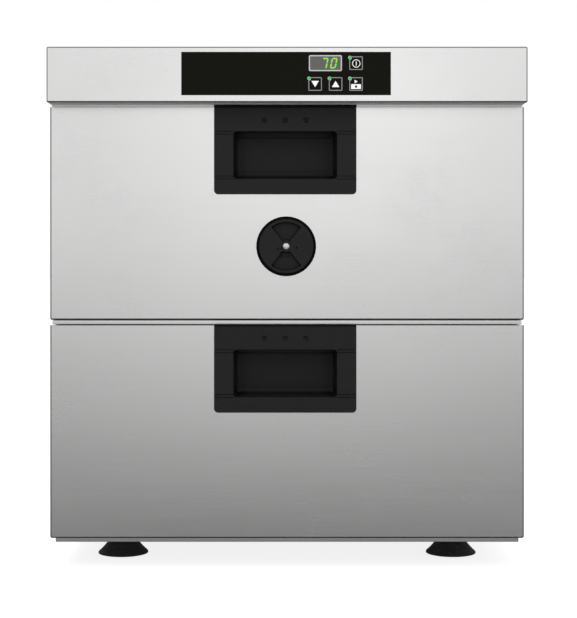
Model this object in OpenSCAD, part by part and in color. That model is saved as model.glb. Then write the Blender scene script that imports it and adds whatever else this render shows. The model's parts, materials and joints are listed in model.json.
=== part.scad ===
// Countertop warming drawer: an insulated steel cabinet with two pan drawers on ball
// slides, a control cap on top and a rotary moisture vent in the upper drawer front.
// Millimetres. X runs across the front, +Y to the rear, +Z up. The origin is on the
// floor, under the middle of the outer box.

/* [Food pan] */
// Length of the food pan over its rim, front to rear
pan_l = 530; // [500:5:560]
// Width of the food pan over its rim
pan_w = 325; // [300:5:330]
// Depth of the food pan below its rim
pan_depth = 150; // [100:5:180]
// Width of the rim that the pan hangs by
pan_rim = 10; // [8:0.5:14]
// Wall of the pan
pan_t = 1; // [0.8:0.1:1.5]
// Corner radius of the pan, seen from above
pan_r = 30; // [20:1:45]

/* [Cabinet] */
// Width of the cabinet, its cap and its drawer fronts
body_w = 492; // [484:1:560]
// Thickness of the casing and liner sheet
sheet = 1; // [0.8:0.1:1.4]
// Width of the folded flanges that the casing is screwed through
flange = 14; // [12:1:18]
// Insulation between each side of the chamber and the casing
side_ins = 40; // [34:1:43]
// Insulation behind the chamber
back_ins = 28; // [24:1:45]
// Free depth behind the drawers inside the chamber
rear_clear = 26.5; // [24:0.5:50]
// Height of cabinet that shows below the lower drawer front
base_lip = 11; // [8:0.5:20]

/* [Drawer fronts] */
// Thickness of a drawer front
front_t = 33; // [32:1:42]
// Gap between the two drawer fronts
front_gap = 5.5; // [4:0.5:10]
// Overlap of a front over the rail between the drawers
lap_mid = 15.5; // [14:0.5:20]
// Overlap of a front over the cabinet at its outer edge
lap_end = 19.5; // [16:0.5:26]
// Outside bend radius at the corners of a front
front_r = 1; // [0.8:0.1:1.4]
// Thickness of the pressed door seal
seal_t = 5; // [4:0.5:8]
// Width of the door seal
seal_w = 10; // [8:0.5:11]

/* [Handles] */
// Width of a handle plate
handle_w = 147.6; // [140:0.1:170]
// Height of a handle plate
handle_h = 91.5; // [86:0.5:105]
// Sideways offset of the handles from the middle
handle_x = -1.9; // [-10:0.1:10]
// How far a handle plate stands out from the steel
handle_proud = 2; // [1.5:0.1:3]
// Width of the finger pocket
pocket_w = 107; // [90:1:116]
// Height of the mouth of the finger pocket
pocket_h = 48.7; // [36:0.1:50]
// Depth of the finger pocket
pocket_d = 25; // [20:1:27]
// Height of the finger hook above the pocket's mouth
hook_h = 14; // [10:0.5:16]

/* [Control cap] */
// Height of the control cap
cap_h = 57; // [56:1:80]
// How far the cap stands out in front of the drawer fronts
cap_out = 24; // [18:1:40]
// Gap between the cap and the upper drawer front
cap_gap = 2.5; // [1.5:0.5:5]
// Outside bend radius of the cap
cap_r = 2; // [1.6:0.1:4]
// Width of the control panel
panel_w = 213.8; // [205:0.1:240]
// Height of the control panel
panel_h = 43.9; // [42:0.1:46]
// Sideways offset of the control panel
panel_x = -1; // [-20:0.5:20]
// Distance between neighbouring keys
key_pitch = 20.9; // [19:0.1:24]
// Width of a key
key_w = 11; // [9:0.5:12]
// Travel of a key
key_travel = 0.4; // [0.2:0.05:0.6]

/* [Moisture vent] */
// Radius of the vent's seat on the drawer front
vent_r = 31; // [29:0.5:36]
// Height of the vent's centre above the lower edge of the front
vent_z = 76.5; // [60:0.5:90]
// Sideways offset of the vent
vent_x = -0.9; // [-30:0.1:30]
// Outer radius of the vent's duct
duct_r = 24; // [22:0.5:26]

/* [Slides] */
// Length of the slides
slide_l = 520; // [480:5:530]
// Opening travel of a drawer
travel = 500; // [360:5:510]
// Height of the slides
slide_h = 45; // [44:1:50]
// Thickness of a slide
slide_t = 14; // [13.6:0.1:16]
// Diameter of the slide balls
ball_d = 3; // [2.6:0.1:3.1]
// Balls in each row
ball_count = 5; // [3:1:8]

/* [Feet] */
// Height of the feet
foot_h = 24; // [22:1:40]
// Radius of a foot where it stands
foot_r = 27.5; // [24:0.5:32]
// Distance of the feet from the sides, front and rear of the cabinet
foot_inset = 65; // [50:1:90]

/* [Heater] */
// Radius of the sheathed heating element
element_r = 4; // [3:0.25:4.25]
// Height of the element's centre above the chamber floor
element_z = 9; // [8:0.5:10]
// Runs of the element, an even number, so that both ends leave at the rear
element_runs = 6; // [4:2:6]
// Distance between neighbouring runs of the element
element_pitch = 56; // [44:2:60]

/* [Cord entry] */
// Radius of the cord hole through the gland
gland_bore = 5.5; // [3:0.1:6]
// How far the gland stands out behind the cabinet
gland_out = 18; // [16:1:26]
// Sideways place of the gland
gland_x = 195; // [185:5:200]

/* [Hidden] */
$fn = 64;
cut = 1; // overrun of a cutting tool past the face it cuts
fit = 0.2; // clearance round a part that is set into another
skim = 0.05; // radial clearance of a screw or pin in its hole

// Drawers: the frame that carries the pan, and its place in an opening
frame_t = 1.5;
frame_h = 45;
pan_gap = 5.75; // from the pan's rim to the end of the frame
rim_drop = 14; // from the top of an opening down to the pan's rest
pan_clear = 22; // under the pan
hole_gap = 1.5; // between the pan and the edge of the frame
frame_l = pan_l + 2 * pan_gap;
open_h = pan_depth + rim_drop + pan_clear;
front_h = open_h + lap_mid + lap_end;

// Heights above the floor
z_base = foot_h;
z_lower = z_base + base_lip;
z_upper = z_lower + front_h + front_gap;
z_cap = z_upper + front_h + cap_gap;
z_top = z_cap + cap_h;
lower_open = z_lower + lap_end;
upper_open = z_upper + lap_mid;
chamber_top = upper_open + open_h;

// Places along Y
chamber_d = frame_l - seal_t - sheet + rear_clear;
cabinet_d = 3 * sheet + chamber_d + back_ins;
span_y = cap_out + front_t + seal_t + cabinet_d + gland_out;
y_cap = -span_y / 2;
y_face = y_cap + cap_out;
y_skin = y_face + front_t;
y_cab = y_skin + seal_t;
y_rear = y_cab + cabinet_d;
y_liner = y_cab + sheet + chamber_d;

// Half widths
half_w = body_w / 2;
half_in = half_w - 2 * sheet - side_ins;
half_frame = half_in - slide_t;

// Slides: each member is folded from slide_s sheet; u runs in from the chamber wall
slide_s = 1.5;
ball_run = 0.1;
race = ball_d + 2 * ball_run;
slide_drop = 24; // from the pan's rest down to the middle of a slide
slide_set = 8; // from the cabinet's face back to the slides
half_outer = slide_h / 2;
half_mid = half_outer - slide_s - race;
half_inner = half_mid - slide_s - race;
outer_leg = slide_t - 3;
mid_web = 5;
mid_leg = [2.2, slide_t - 2.2];
inner_leg = slide_t - 6.7;
outer_ball_u = 6.5;
inner_ball_u = slide_t - 4.5;
cage_t = 0.8;
cage_end = 15; // from the end of the shared race to the cage, at full travel
cage_l = slide_l - travel / 2 - 2 * cage_end;

// Screws, all with plain round heads
screw_r = 1.9;
head_r = 3.6;
head_h = 2;
screw_l = 9;
cap_screw_l = 7;

// Handle
handle_lap = 3.5;
handle_rise = 1;
handle_r = 3;
band_top = 26.6; // from the handle's top down to the pocket
band_h = 2.8; // height of the step beside the pocket
band_drop = 0.8;
hook_wall = 6;
pocket_wall = 3;
boss_r = 5;
boss_x = pocket_w / 2 + 5.5;
boss_z = 50.5; // from the handle's top down to the screws
dimple_pitch = 21.4;
dimple_drop = 14;
dimple_r = 2.5;
dimple_d = 0.8;
seal_set = 2; // from an opening's edge out to the seal

// Vent
seat_t = 2.5;
dial_t = 5;
dial_r = vent_r - 1.5;
dial_gap = 0.1;
window_in = 6.5;
window_out = dial_r - 4.3;
window_half = 38; // degrees each side of the middle of a window
duct_wall = 2.5;
pivot_r = 3;
pivot_head_r = 3.4;
pivot_thread_r = 2;
pivot_head_h = 2.2;
hub_r = 6;
hub_l = 10;
vent_hole_r = 1.6;

// Control panel and what lies behind it
panel_t = 2.5;
panel_flange = 4;
panel_z = z_cap + cap_h / 2 + 0.9;
display_w = 33.6;
display_h = 16.4;
display_x = panel_x + 40.2;
row_z = 10.65; // from the panel's middle to each row of keys
key_x = panel_x + 71.5;
key_lip = 0.8;
key_lip_t = 0.8;
stem_r = 1.7;
switch_w = 6;
switch_h = 5;
led_r = 1.8;
led_set = [-6.1, 5.4];
led_gap = 0.5;
board_y = y_cap + 12;
board_t = 1.6;
board_in = 4; // from the panel's edge in to the board's
board_w = panel_w - 2 * board_in;
board_h = panel_h - 2 * board_in;
post_r = 3;
post_in = 5;
lens_t = 1.5;

// Feet and their bolts
foot_neck_r = 15;
foot_bore_r = 9;
foot_bore_d = 7;
bolt_r = 4;
bolt_head_r = 7;
bolt_head_h = 4;
bolt_end = 9;
nut_r = 7.5;
nut_h = 6.5;
foot_x = half_w - foot_inset;
foot_y = [y_cab + foot_inset, y_rear - foot_inset];

// Heater, probe and cut-out
element_x = [for (i = [0:element_runs - 1]) (i - (element_runs - 1) / 2) * element_pitch];
element_ends = [element_x[0], element_x[element_runs - 1]];
element_front = y_cab + 60;
element_back = y_liner - 55;
terminal_end = 8;
probe_r = 3;
probe_l = 18;
probe_end = 8;
probe_x = 60;
cutout_r = 9;
cutout_h = 9;
middle_z = z_upper - front_gap / 2;
support_y = [element_front + 60, element_back - 60];
support_w = 10;
support_end = 12; // past the outer runs of the element

// Parts in the cap
deck_z = z_cap + 2 * sheet; // upper face of the cap's floor
wire_r = 1.8;
wire_y = y_rear - sheet - 5;
wire_z = deck_z + 14;
power_w = 130;
power_d = 110;
power_x = -165;
power_post = 8;
power_post_in = 8;
mains_plug = [12, 50, 12.4];
signal_plug = [22, 10, 11.4];
element_plug = [12, 18, 12.4];
relay = [29, 13, 15.4];
capacitor = [8, 20.4]; // radius and height
plug_y = 12; // middle of the mains plug
signal_x = power_x + 86;
block_w = 60;
block_d = 28;
block_h = 20;
block_x = gland_x - block_w / 2 - 5;
block_back = 76; // from the rear to the front of the terminal block
block_y = y_rear - block_back;
core_w = 62;
core_d = 50;
core_h = 42;
louvre_w = 26;
louvre_h = 3;
louvre_count = 6; // in each of two columns
louvre_x = -90; // middle between the columns
louvre_low = 13; // from the cap's lower edge up to the lowest louvre

// ---- Helpers ----------------------------------------------------------------------

// A box between two limits on each axis
module span(x, y, z) {
    translate([x[0], y[0], z[0]]) cube([x[1] - x[0], y[1] - y[0], z[1] - z[0]]);
}

// A flat shape in X and Z, drawn from y0 to y1
module prism_y(y0, y1) {
    translate([0, y1, 0]) rotate([90, 0, 0]) linear_extrude(y1 - y0) children();
}

// A round bar along Y
module rod_y(x, z, y0, y1, r) {
    translate([x, y1, z]) rotate([90, 0, 0]) cylinder(h = y1 - y0, r = r);
}

// A rectangle with round corners about the origin
module round_rect(w, h, r) {
    square([w - 2 * r, h], center = true);
    square([w, h - 2 * r], center = true);
    for (x = [-1, 1], y = [-1, 1])
        translate([x * (w / 2 - r), y * (h / 2 - r)]) circle(r);
}

// Children, and their mirror image on the other side of the cabinet
module both_sides() {
    children();
    mirror([1, 0, 0]) children();
}

// A wire of round section through a list of points
module wire(points) {
    for (i = [0:len(points) - 2]) {
        d = points[i + 1] - points[i];
        translate(points[i])
            rotate([0, acos(d[2] / norm(d)), atan2(d[1], d[0])])
                cylinder(h = norm(d), r = wire_r, $fn = 24);
    }
    for (i = [1:1:len(points) - 2]) translate(points[i]) sphere(wire_r, $fn = 24);
}

// ---- Casing -----------------------------------------------------------------------

back_screw_x = half_w - flange / 2;
back_screw_z = [z_base + 30, middle_z, z_cap - 30];
cap_back_z = [z_cap + 16, z_top - 16];
cap_screw_y = [y_cab + 40, y_rear - 40];

// Holes for the screws along Y at the rear, in the panels that they pass through
module rear_screw_holes(r, y0) {
    for (x = [-1, 1], z = concat(back_screw_z, cap_back_z))
        rod_y(x * back_screw_x, z, y0, y_rear + cut, r);
}

// Holes for the upright screws that hold the cap down
module cap_screw_holes(r, z0, z1) {
    for (x = [-1, 1], y = cap_screw_y)
        translate([x * back_screw_x, y, z0]) cylinder(h = z1 - z0, r = r);
}

module side_panel() {
    color("#c9cacb") difference() {
        union() {
            span([half_w - sheet, half_w], [y_cab + sheet, y_rear - sheet], [z_base, z_cap]);
            for (y = [y_cab + sheet, y_rear - 2 * sheet])
                span([half_w - flange, half_w], [y, y + sheet], [z_base + sheet, z_cap]);
            span([half_w - flange, half_w], [y_cab + sheet, y_rear - sheet],
                 [z_cap - sheet, z_cap]);
        }
        rear_screw_holes(screw_r + skim, y_rear - 3 * sheet);
        cap_screw_holes(screw_r + skim, z_cap - 2 * sheet, z_cap + cut);
    }
}

module back_panel() {
    color("#bfc0c1") difference() {
        span([-half_w, half_w], [y_rear - sheet, y_rear], [z_base, z_cap]);
        rear_screw_holes(screw_r + skim, y_rear - 2 * sheet);
    }
}

module base_pan() {
    color("#b5b6b7") difference() {
        union() {
            span([sheet - half_w, half_w - sheet], [y_cab + sheet, y_rear - sheet],
                 [z_base, z_base + sheet]);
            both_sides() span([half_w - 2 * sheet, half_w - sheet],
                              [y_cab + 2 * sheet, y_rear - 2 * sheet],
                              [z_base, z_base + flange]);
        }
        for (x = [-1, 1], y = foot_y)
            translate([x * foot_x, y, z_base - cut]) cylinder(h = 3, r = bolt_r + skim);
    }
}

module front_frame() {
    rail_lip = 20;
    color("#c4c5c6") {
        difference() {
            span([-half_w, half_w], [y_cab, y_cab + sheet], [z_base, z_cap]);
            for (z = [lower_open, upper_open])
                span([-half_in, half_in], [y_cab - cut, y_cab + 2 * sheet], [z, z + open_h]);
        }
        for (z = [lower_open + open_h, upper_open - sheet])
            span([-half_in, half_in], [y_cab, y_cab + rail_lip], [z, z + sheet]);
    }
}

module chamber_liner() {
    color("#d0d1d2") difference() {
        span([-half_in - sheet, half_in + sheet], [y_cab + sheet, y_liner + sheet],
             [lower_open - sheet, chamber_top + sheet]);
        span([-half_in, half_in], [y_cab, y_liner], [lower_open, chamber_top]);
        for (x = element_ends)
            rod_y(x, lower_open + element_z, y_liner - cut, y_liner + 2 * sheet,
                  element_r + skim);
        rod_y(probe_x, middle_z, y_liner - cut, y_liner + 2 * sheet, probe_r + skim);
    }
}

module cabinet_insulation() {
    wall = half_in + sheet;
    slab_out = half_w - 2 * sheet;
    color("#d9cf9e") {
        // Sides
        difference() {
            both_sides() span([wall, slab_out], [y_cab + 2 * sheet, y_rear - 2 * sheet],
                              [z_base + sheet, z_cap - sheet]);
            rear_screw_holes(screw_r + 1, y_rear - screw_l - 2);
            cap_screw_holes(screw_r + 1, z_cap - cap_screw_l - 2, z_cap);
        }
        // Floor, with pockets for the nuts of the feet
        difference() {
            span([-wall, wall], [y_cab + 2 * sheet, y_liner + sheet],
                 [z_base + sheet, lower_open - sheet]);
            for (x = [-1, 1], y = foot_y)
                translate([x * foot_x, y, z_base]) cylinder(h = bolt_end + 2, r = nut_r + 1);
        }
        // Top
        span([-wall, wall], [y_cab + 2 * sheet, y_liner + sheet], [chamber_top + sheet, z_cap]);
        // Back, with pockets for the element's ends, the leads, the probe and the cut-out
        difference() {
            span([-wall, wall], [y_liner + sheet, y_rear - sheet],
                 [z_base + sheet, z_cap - sheet]);
            for (x = element_ends) {
                rod_y(x, lower_open + element_z, y_liner, y_rear, element_r + fit);
                span([x - 4, x + 4], [wire_y - 4, y_rear],
                     [lower_open, z_cap]);
            }
            rod_y(probe_x, middle_z, y_liner, y_rear, probe_r + 4);
            span([probe_x - 4, probe_x + 4], [wire_y - 4, y_rear], [middle_z, z_cap]);
            rod_y(-probe_x, middle_z, y_liner, y_liner + sheet + cutout_h + fit, cutout_r + fit);
        }
    }
}

// ---- Control cap ------------------------------------------------------------------

module cap_shape(inset) {
    translate([0, z_cap + cap_h / 2])
        round_rect(body_w - 2 * inset, cap_h - 2 * inset, cap_r - inset);
}

module top_cover() {
    color("#dfe0e1") difference() {
        prism_y(y_cap, y_rear - sheet) cap_shape(0);
        prism_y(y_cap + sheet, y_rear - 2 * sheet) cap_shape(sheet);
        // The cap is open below, behind the cabinet's front, and at its rear
        span([flange - half_w, half_w - flange], [y_cab + flange, y_rear - 2 * sheet],
             [z_cap - cut, z_cap + 2 * sheet]);
        span([flange - half_w, half_w - flange], [y_rear - 3 * sheet, y_rear],
             [z_cap + sheet, z_top - flange]);
        panel_window(fit, y_cap - cut, y_cap + 2 * sheet);
        rear_screw_holes(screw_r + skim, y_rear - 3 * sheet);
        cap_screw_holes(screw_r + skim, z_cap - cut, z_cap + 2 * sheet);
    }
}

module cap_floor() {
    color("#b5b6b7") difference() {
        span([cap_r + sheet - half_w, half_w - cap_r - sheet],
             [y_cap + sheet, y_rear - 2 * sheet], [z_cap + sheet, deck_z]);
        cap_screw_holes(screw_r + skim, z_cap, deck_z + cut);
        for (x = concat(element_ends, probe_x))
            translate([x, wire_y, z_cap]) cylinder(h = 3 * sheet, r = wire_r + 1);
    }
}

module cap_back() {
    color("#bfc0c1") difference() {
        prism_y(y_rear - sheet, y_rear) cap_shape(0);
        rear_screw_holes(screw_r + skim, y_rear - 2 * sheet);
        rod_y(gland_x, z_cap + cap_h / 2, y_rear - 2 * sheet, y_rear + cut, gland_r + skim);
        for (side = [-1, 1], i = [0:louvre_count - 1])
            translate([louvre_x + side * louvre_w * 0.7, 0, z_cap + louvre_low + i * 2 * louvre_h])
                span([-louvre_w / 2, louvre_w / 2], [y_rear - 2 * sheet, y_rear + cut],
                     [0, louvre_h]);
    }
}

module panel_window(room, y0, y1) {
    span([panel_x - panel_w / 2 - room, panel_x + panel_w / 2 + room], [y0, y1],
         [panel_z - panel_h / 2 - room, panel_z + panel_h / 2 + room]);
}

// Middle of each key, as X and Z
function key_places() = [
    [key_x, panel_z + row_z],
    [key_x - 2 * key_pitch, panel_z - row_z],
    [key_x - key_pitch, panel_z - row_z],
    [key_x, panel_z - row_z]
];

module control_panel() {
    lip = key_w + 2 * fit;
    color("#15150f") difference() {
        union() {
            panel_window(0, y_cap, y_cap + panel_t);
            panel_window(panel_flange, y_cap + sheet, y_cap + panel_t);
        }
        span([display_x - display_w / 2, display_x + display_w / 2], [y_cap - cut, y_cap + lens_t],
             [panel_z + row_z - display_h / 2, panel_z + row_z + display_h / 2]);
        span([display_x - display_w / 2 + 1, display_x + display_w / 2 - 1],
             [y_cap - cut, y_cap + panel_t + cut],
             [panel_z + row_z - display_h / 2 + 1, panel_z + row_z + display_h / 2 - 1]);
        for (k = key_places()) {
            span([k[0] - lip / 2, k[0] + lip / 2], [y_cap - cut, y_cap + panel_t + cut],
                 [k[1] - lip / 2, k[1] + lip / 2]);
            rod_y(k[0] + led_set[0], k[1] + led_set[1], y_cap - cut, y_cap + panel_t + cut,
                  led_r + skim);
        }
    }
}

module display_lens() {
    color("#5c605c") span([display_x - display_w / 2 + skim, display_x + display_w / 2 - skim],
         [y_cap, y_cap + lens_t],
         [panel_z + row_z - display_h / 2 + skim, panel_z + row_z + display_h / 2 - skim]);
}

module display_module() {
    color("#2a2c2a") span([display_x - display_w / 2 + 2, display_x + display_w / 2 - 2],
         [y_cap + lens_t + fit, board_y],
         [panel_z + row_z - display_h / 2 + 1.2, panel_z + row_z + display_h / 2 - 1.2]);
}

// Board behind the panel, on four posts
module control_board() {
    color("#1e6b3a") {
        span([panel_x - board_w / 2, panel_x + board_w / 2], [board_y, board_y + board_t],
             [panel_z - board_h / 2, panel_z + board_h / 2]);
        for (x = [-1, 1], z = [-1, 1])
            rod_y(panel_x + x * (board_w / 2 - post_in), panel_z + z * (board_h / 2 - post_in),
                  y_cap + panel_t, board_y, post_r);
    }
}

module key_switches() {
    color("#3a3a3a") for (k = key_places()) difference() {
        span([k[0] - switch_w / 2, k[0] + switch_w / 2], [board_y - switch_h, board_y],
             [k[1] - switch_w / 2, k[1] + switch_w / 2]);
        rod_y(k[0], k[1], board_y - switch_h - cut, board_y - 2, stem_r + 0.1);
    }
}

module status_leds() {
    color("#2fd16a") for (k = key_places())
        rod_y(k[0] + led_set[0], k[1] + led_set[1], y_cap, board_y, led_r);
}

// A key: a pad in the panel, a lip behind it and the stem into its switch
module key(i) {
    k = key_places()[i];
    lip_w = key_w / 2 + key_lip;
    color("#15150f") difference() {
        union() {
            span([k[0] - key_w / 2, k[0] + key_w / 2], [y_cap, y_cap + panel_t + 0.1],
                 [k[1] - key_w / 2, k[1] + key_w / 2]);
            span([k[0] - lip_w, k[0] + lip_w],
                 [y_cap + panel_t + 0.1, y_cap + panel_t + 0.1 + key_lip_t],
                 [k[1] - lip_w, k[1] + lip_w]);
            rod_y(k[0], k[1], y_cap + panel_t, board_y - 2 - key_travel - fit, stem_r);
        }
        rod_y(k[0] + led_set[0], k[1] + led_set[1], y_cap - cut, board_y, led_r + led_gap);
    }
}

// Mains board with its plugs, relay and capacitor, on four posts
module power_board() {
    z = deck_z + power_post;
    y0 = -power_d / 2;
    color("#245c33") {
        span([power_x, power_x + power_w], [y0, y0 + power_d], [z, z + board_t]);
        for (x = [power_post_in, power_w - power_post_in],
             y = [power_post_in, power_d - power_post_in])
            translate([power_x + x, y0 + y, deck_z]) cylinder(h = power_post, r = post_r);
    }
    color("#2b2b2e") translate([0, 0, z + board_t]) {
        translate([power_x + power_w - mains_plug[0], plug_y - mains_plug[1] / 2, 0])
            cube(mains_plug);
        translate([signal_x - signal_plug[0] / 2, y0 + 4, 0]) cube(signal_plug);
        translate([element_ends[0] - element_plug[0] / 2, y0 + power_d - element_plug[1], 0])
            cube(element_plug);
        translate([power_x + 50, y0 + 60, 0]) cube(relay);
        translate([power_x + 45, y0 + 28, 0]) cylinder(h = capacitor[1], r = capacitor[0]);
    }
}

module transformer() {
    x0 = 30;
    y0 = -60;
    color("#55575a") {
        span([x0, x0 + core_w], [y0, y0 + core_d], [deck_z, deck_z + 2]);
        span([x0 + 6, x0 + core_w - 6], [y0 + 14, y0 + core_d - 14], [deck_z, deck_z + core_h]);
    }
    color("#a8522b")
        span([x0 + 16, x0 + core_w - 16], [y0 + 4, y0 + core_d - 4],
             [deck_z + 8, deck_z + core_h - 8]);
}

module terminal_block() {
    poles = 5;
    pitch = block_w / poles;
    color("#e4e2da") difference() {
        span([block_x, block_x + block_w], [block_y, block_y + block_d],
             [deck_z, deck_z + block_h]);
        for (i = [0:poles - 1]) {
            translate([block_x + (i + 0.5) * pitch, block_y + block_d / 2, deck_z + 14])
                cylinder(h = 8, r = 3);
            rod_y(block_x + (i + 0.5) * pitch, deck_z + 6, block_y + block_d - 8,
                  block_y + block_d + cut, 2.4);
        }
    }
}

gland_r = 10;
gland_nut_t = 5;
gland_in = 10;

// Cord gland with its lock nut inside the cap
module cable_gland() {
    z = z_cap + cap_h / 2;
    color("#1c1c1e") {
        difference() {
            union() {
                rod_y(gland_x, z, y_rear - sheet - gland_in, y_rear, gland_r);
                translate([gland_x, y_rear + 5, z]) rotate([90, 0, 0])
                    cylinder(h = 5, r = 13.5, $fn = 6);
                rod_y(gland_x, z, y_rear + 5, y_rear + gland_out - 3, 11.5);
                rod_y(gland_x, z, y_rear + gland_out - 3, y_rear + gland_out, 9);
            }
            rod_y(gland_x, z, y_rear - 2 * gland_in, y_rear + gland_out + cut, gland_bore);
        }
        difference() {
            translate([gland_x, y_rear - sheet, z]) rotate([90, 0, 0])
                cylinder(h = gland_nut_t, r = 14, $fn = 6);
            rod_y(gland_x, z, y_rear - 2 * gland_in, y_rear, gland_r + skim);
        }
    }
}

// ---- Heater, sensors and wiring ---------------------------------------------------

module element_bend(x, y, turn) {
    translate([x, y, lower_open + element_z]) rotate([0, 0, turn])
        rotate_extrude(angle = 180) translate([element_pitch / 2, 0]) circle(element_r, $fn = 32);
}

// Runs joined by bends, with both ends out through the rear of the liner
module heating_element() {
    last = element_runs - 1;
    color("#6d6a66") {
        for (i = [0:last])
            rod_y(element_x[i], lower_open + element_z, element_front,
                  i == 0 || i == last ? y_rear - sheet - terminal_end : element_back,
                  element_r, $fn = 32);
        for (i = [0:2:last - 1])
            element_bend(element_x[i] + element_pitch / 2, element_front, 180);
        for (i = [1:2:last - 2])
            element_bend(element_x[i] + element_pitch / 2, element_back, 0);
    }
}

module element_supports() {
    color("#8f9092") for (y = support_y) difference() {
        span([element_ends[0] - support_end, element_ends[1] + support_end],
             [y - support_w / 2, y + support_w / 2],
             [lower_open, lower_open + element_z + element_r + 2]);
        for (x = element_x)
            rod_y(x, lower_open + element_z, y - support_w, y + support_w, element_r + 0.1);
    }
}

module temperature_probe() {
    color("#b9bbbd") {
        rod_y(probe_x, middle_z, y_liner - probe_l, y_liner + sheet + probe_end, probe_r);
        rod_y(probe_x, middle_z, y_liner + sheet, y_liner + sheet + 4, probe_r + 3);
    }
}

module safety_thermostat() {
    color("#3a3a3c") rod_y(-probe_x, middle_z, y_liner + sheet, y_liner + sheet + cutout_h,
                           cutout_r);
}

// Leads from the element and the probe up into the cap, and the leads inside the cap
module internal_wiring() {
    power_rear = power_d / 2;
    end_z = lower_open + element_z;
    pole_y = block_y + block_d / 2;
    color("#b03228") {
        wire([[element_ends[1], y_rear - sheet - terminal_end, end_z],
              [element_ends[1], wire_y, end_z], [element_ends[1], wire_y, wire_z],
              [element_ends[1], pole_y, wire_z], [block_x, pole_y, wire_z]]);
        wire([[element_ends[0], y_rear - sheet - terminal_end, end_z],
              [element_ends[0], wire_y, end_z], [element_ends[0], wire_y, wire_z],
              [element_ends[0], power_rear, wire_z]]);
    }
    color("#e8e6e0") wire([[probe_x, y_liner + sheet + probe_end, middle_z],
          [probe_x, wire_y, middle_z], [probe_x, wire_y, wire_z],
          [probe_x, plug_y + 15, wire_z], [power_x + power_w, plug_y + 15, wire_z]]);
    color("#3a66a8") wire([[block_x + 6, block_y, wire_z], [block_x + 6, plug_y - 15, wire_z],
          [power_x + power_w, plug_y - 15, wire_z]]);
    color("#d8d8d8") wire([[signal_x, -power_d / 2 + 4, wire_z],
          [signal_x, board_y + 40, wire_z], [signal_x, board_y + 40, panel_z],
          [signal_x, board_y + board_t, panel_z]]);
}

// ---- Feet and screws --------------------------------------------------------------

module at_feet() {
    for (x = [-1, 1], y = foot_y) translate([x * foot_x, y, 0]) children();
}

module feet() {
    color("#17171a") at_feet() rotate_extrude() polygon([
        [foot_bore_r, 0], [foot_r - 0.5, 0], [foot_r, 0.6], [foot_r - 0.4, 1.8],
        [foot_neck_r + 3.2, foot_h * 0.46], [foot_neck_r, foot_h * 0.62],
        [foot_neck_r, foot_h], [bolt_r + fit, foot_h], [bolt_r + fit, foot_bore_d],
        [foot_bore_r, foot_bore_d]
    ]);
}

module foot_bolts() {
    color("#9c9ea0") at_feet() {
        translate([0, 0, foot_bore_d - bolt_head_h]) cylinder(h = bolt_head_h, r = bolt_head_r);
        translate([0, 0, foot_bore_d]) cylinder(h = z_base + bolt_end - foot_bore_d, r = bolt_r);
        translate([0, 0, z_base + sheet]) difference() {
            cylinder(h = nut_h, r = nut_r, $fn = 6);
            translate([0, 0, -cut]) cylinder(h = nut_h + 2 * cut, r = bolt_r + skim);
        }
    }
}

module casing_screws() {
    color("#a5a7a9") {
        for (x = [-1, 1], z = concat(back_screw_z, cap_back_z)) {
            rod_y(x * back_screw_x, z, y_rear, y_rear + head_h, head_r);
            rod_y(x * back_screw_x, z, y_rear - screw_l, y_rear, screw_r);
        }
        for (x = [-1, 1], y = cap_screw_y) translate([x * back_screw_x, y, 0]) {
            translate([0, 0, deck_z]) cylinder(h = head_h, r = head_r);
            translate([0, 0, z_cap - cap_screw_l])
                cylinder(h = deck_z - z_cap + cap_screw_l, r = screw_r);
        }
    }
}

// ---- Slides -----------------------------------------------------------------------

// Draws a slide profile, given as u inwards and v up, on both walls of the chamber
module slide_pair(rest, y0, y1) {
    both_sides() prism_y(y0, y1)
        translate([half_in, rest - slide_drop]) mirror([1, 0]) children();
}

module slide_member(web, leg, half) {
    translate([web, -half]) square([slide_s, 2 * half]);
    for (v = [-half, half - slide_s]) translate([leg[0], v]) square([leg[1] - leg[0], slide_s]);
}

slide_y = [y_cab + slide_set, y_cab + slide_set + slide_l];

module slide_outer(rest) {
    color("#a9abad") slide_pair(rest, slide_y[0], slide_y[1])
        slide_member(0, [0, outer_leg], half_outer);
}

module slide_mid(rest) {
    color("#b4b6b8") slide_pair(rest, slide_y[0], slide_y[1])
        slide_member(mid_web, mid_leg, half_mid);
}

module slide_inner(rest) {
    color("#bfc1c3") slide_pair(rest, slide_y[0], slide_y[1])
        slide_member(slide_t - slide_s, [inner_leg, slide_t], half_inner);
}

// Two retainer strips of balls in each slide; v is the height of the ball centres
module ball_cage(rest, u, v, half_strip) {
    y0 = slide_y[0] + travel / 4 + cage_end;
    pitch = cage_l / ball_count;
    both_sides() for (s = [-1, 1]) translate([half_in - u, y0, rest - slide_drop + s * v]) {
        color("#e6e6e2") difference() {
            translate([-half_strip, 0, -cage_t / 2]) cube([2 * half_strip, cage_l, cage_t]);
            for (i = [0:ball_count - 1]) translate([0, (i + 0.5) * pitch, -cage_t])
                cylinder(h = 2 * cage_t, r = ball_d / 2 + skim, $fn = 32);
        }
        color("#c8cacc") for (i = [0:ball_count - 1])
            translate([0, (i + 0.5) * pitch, 0]) sphere(ball_d / 2, $fn = 32);
    }
}

module outer_balls(rest) {
    ball_cage(rest, outer_ball_u, half_mid + race / 2, 3.6);
}

module inner_balls(rest) {
    ball_cage(rest, inner_ball_u, half_inner + race / 2, 2.4);
}

// ---- Drawers ----------------------------------------------------------------------

upper_rest = upper_open + open_h - rim_drop;
lower_rest = lower_open + open_h - rim_drop;
pan_y = y_skin + frame_l / 2;

// Plan of the pan's body, or of a hole that clears it by room
module pan_plan(room) {
    translate([0, pan_y]) round_rect(pan_w - 2 * pan_rim + 2 * room,
                                     pan_l - 2 * pan_rim + 2 * room, pan_r + room);
}

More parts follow.
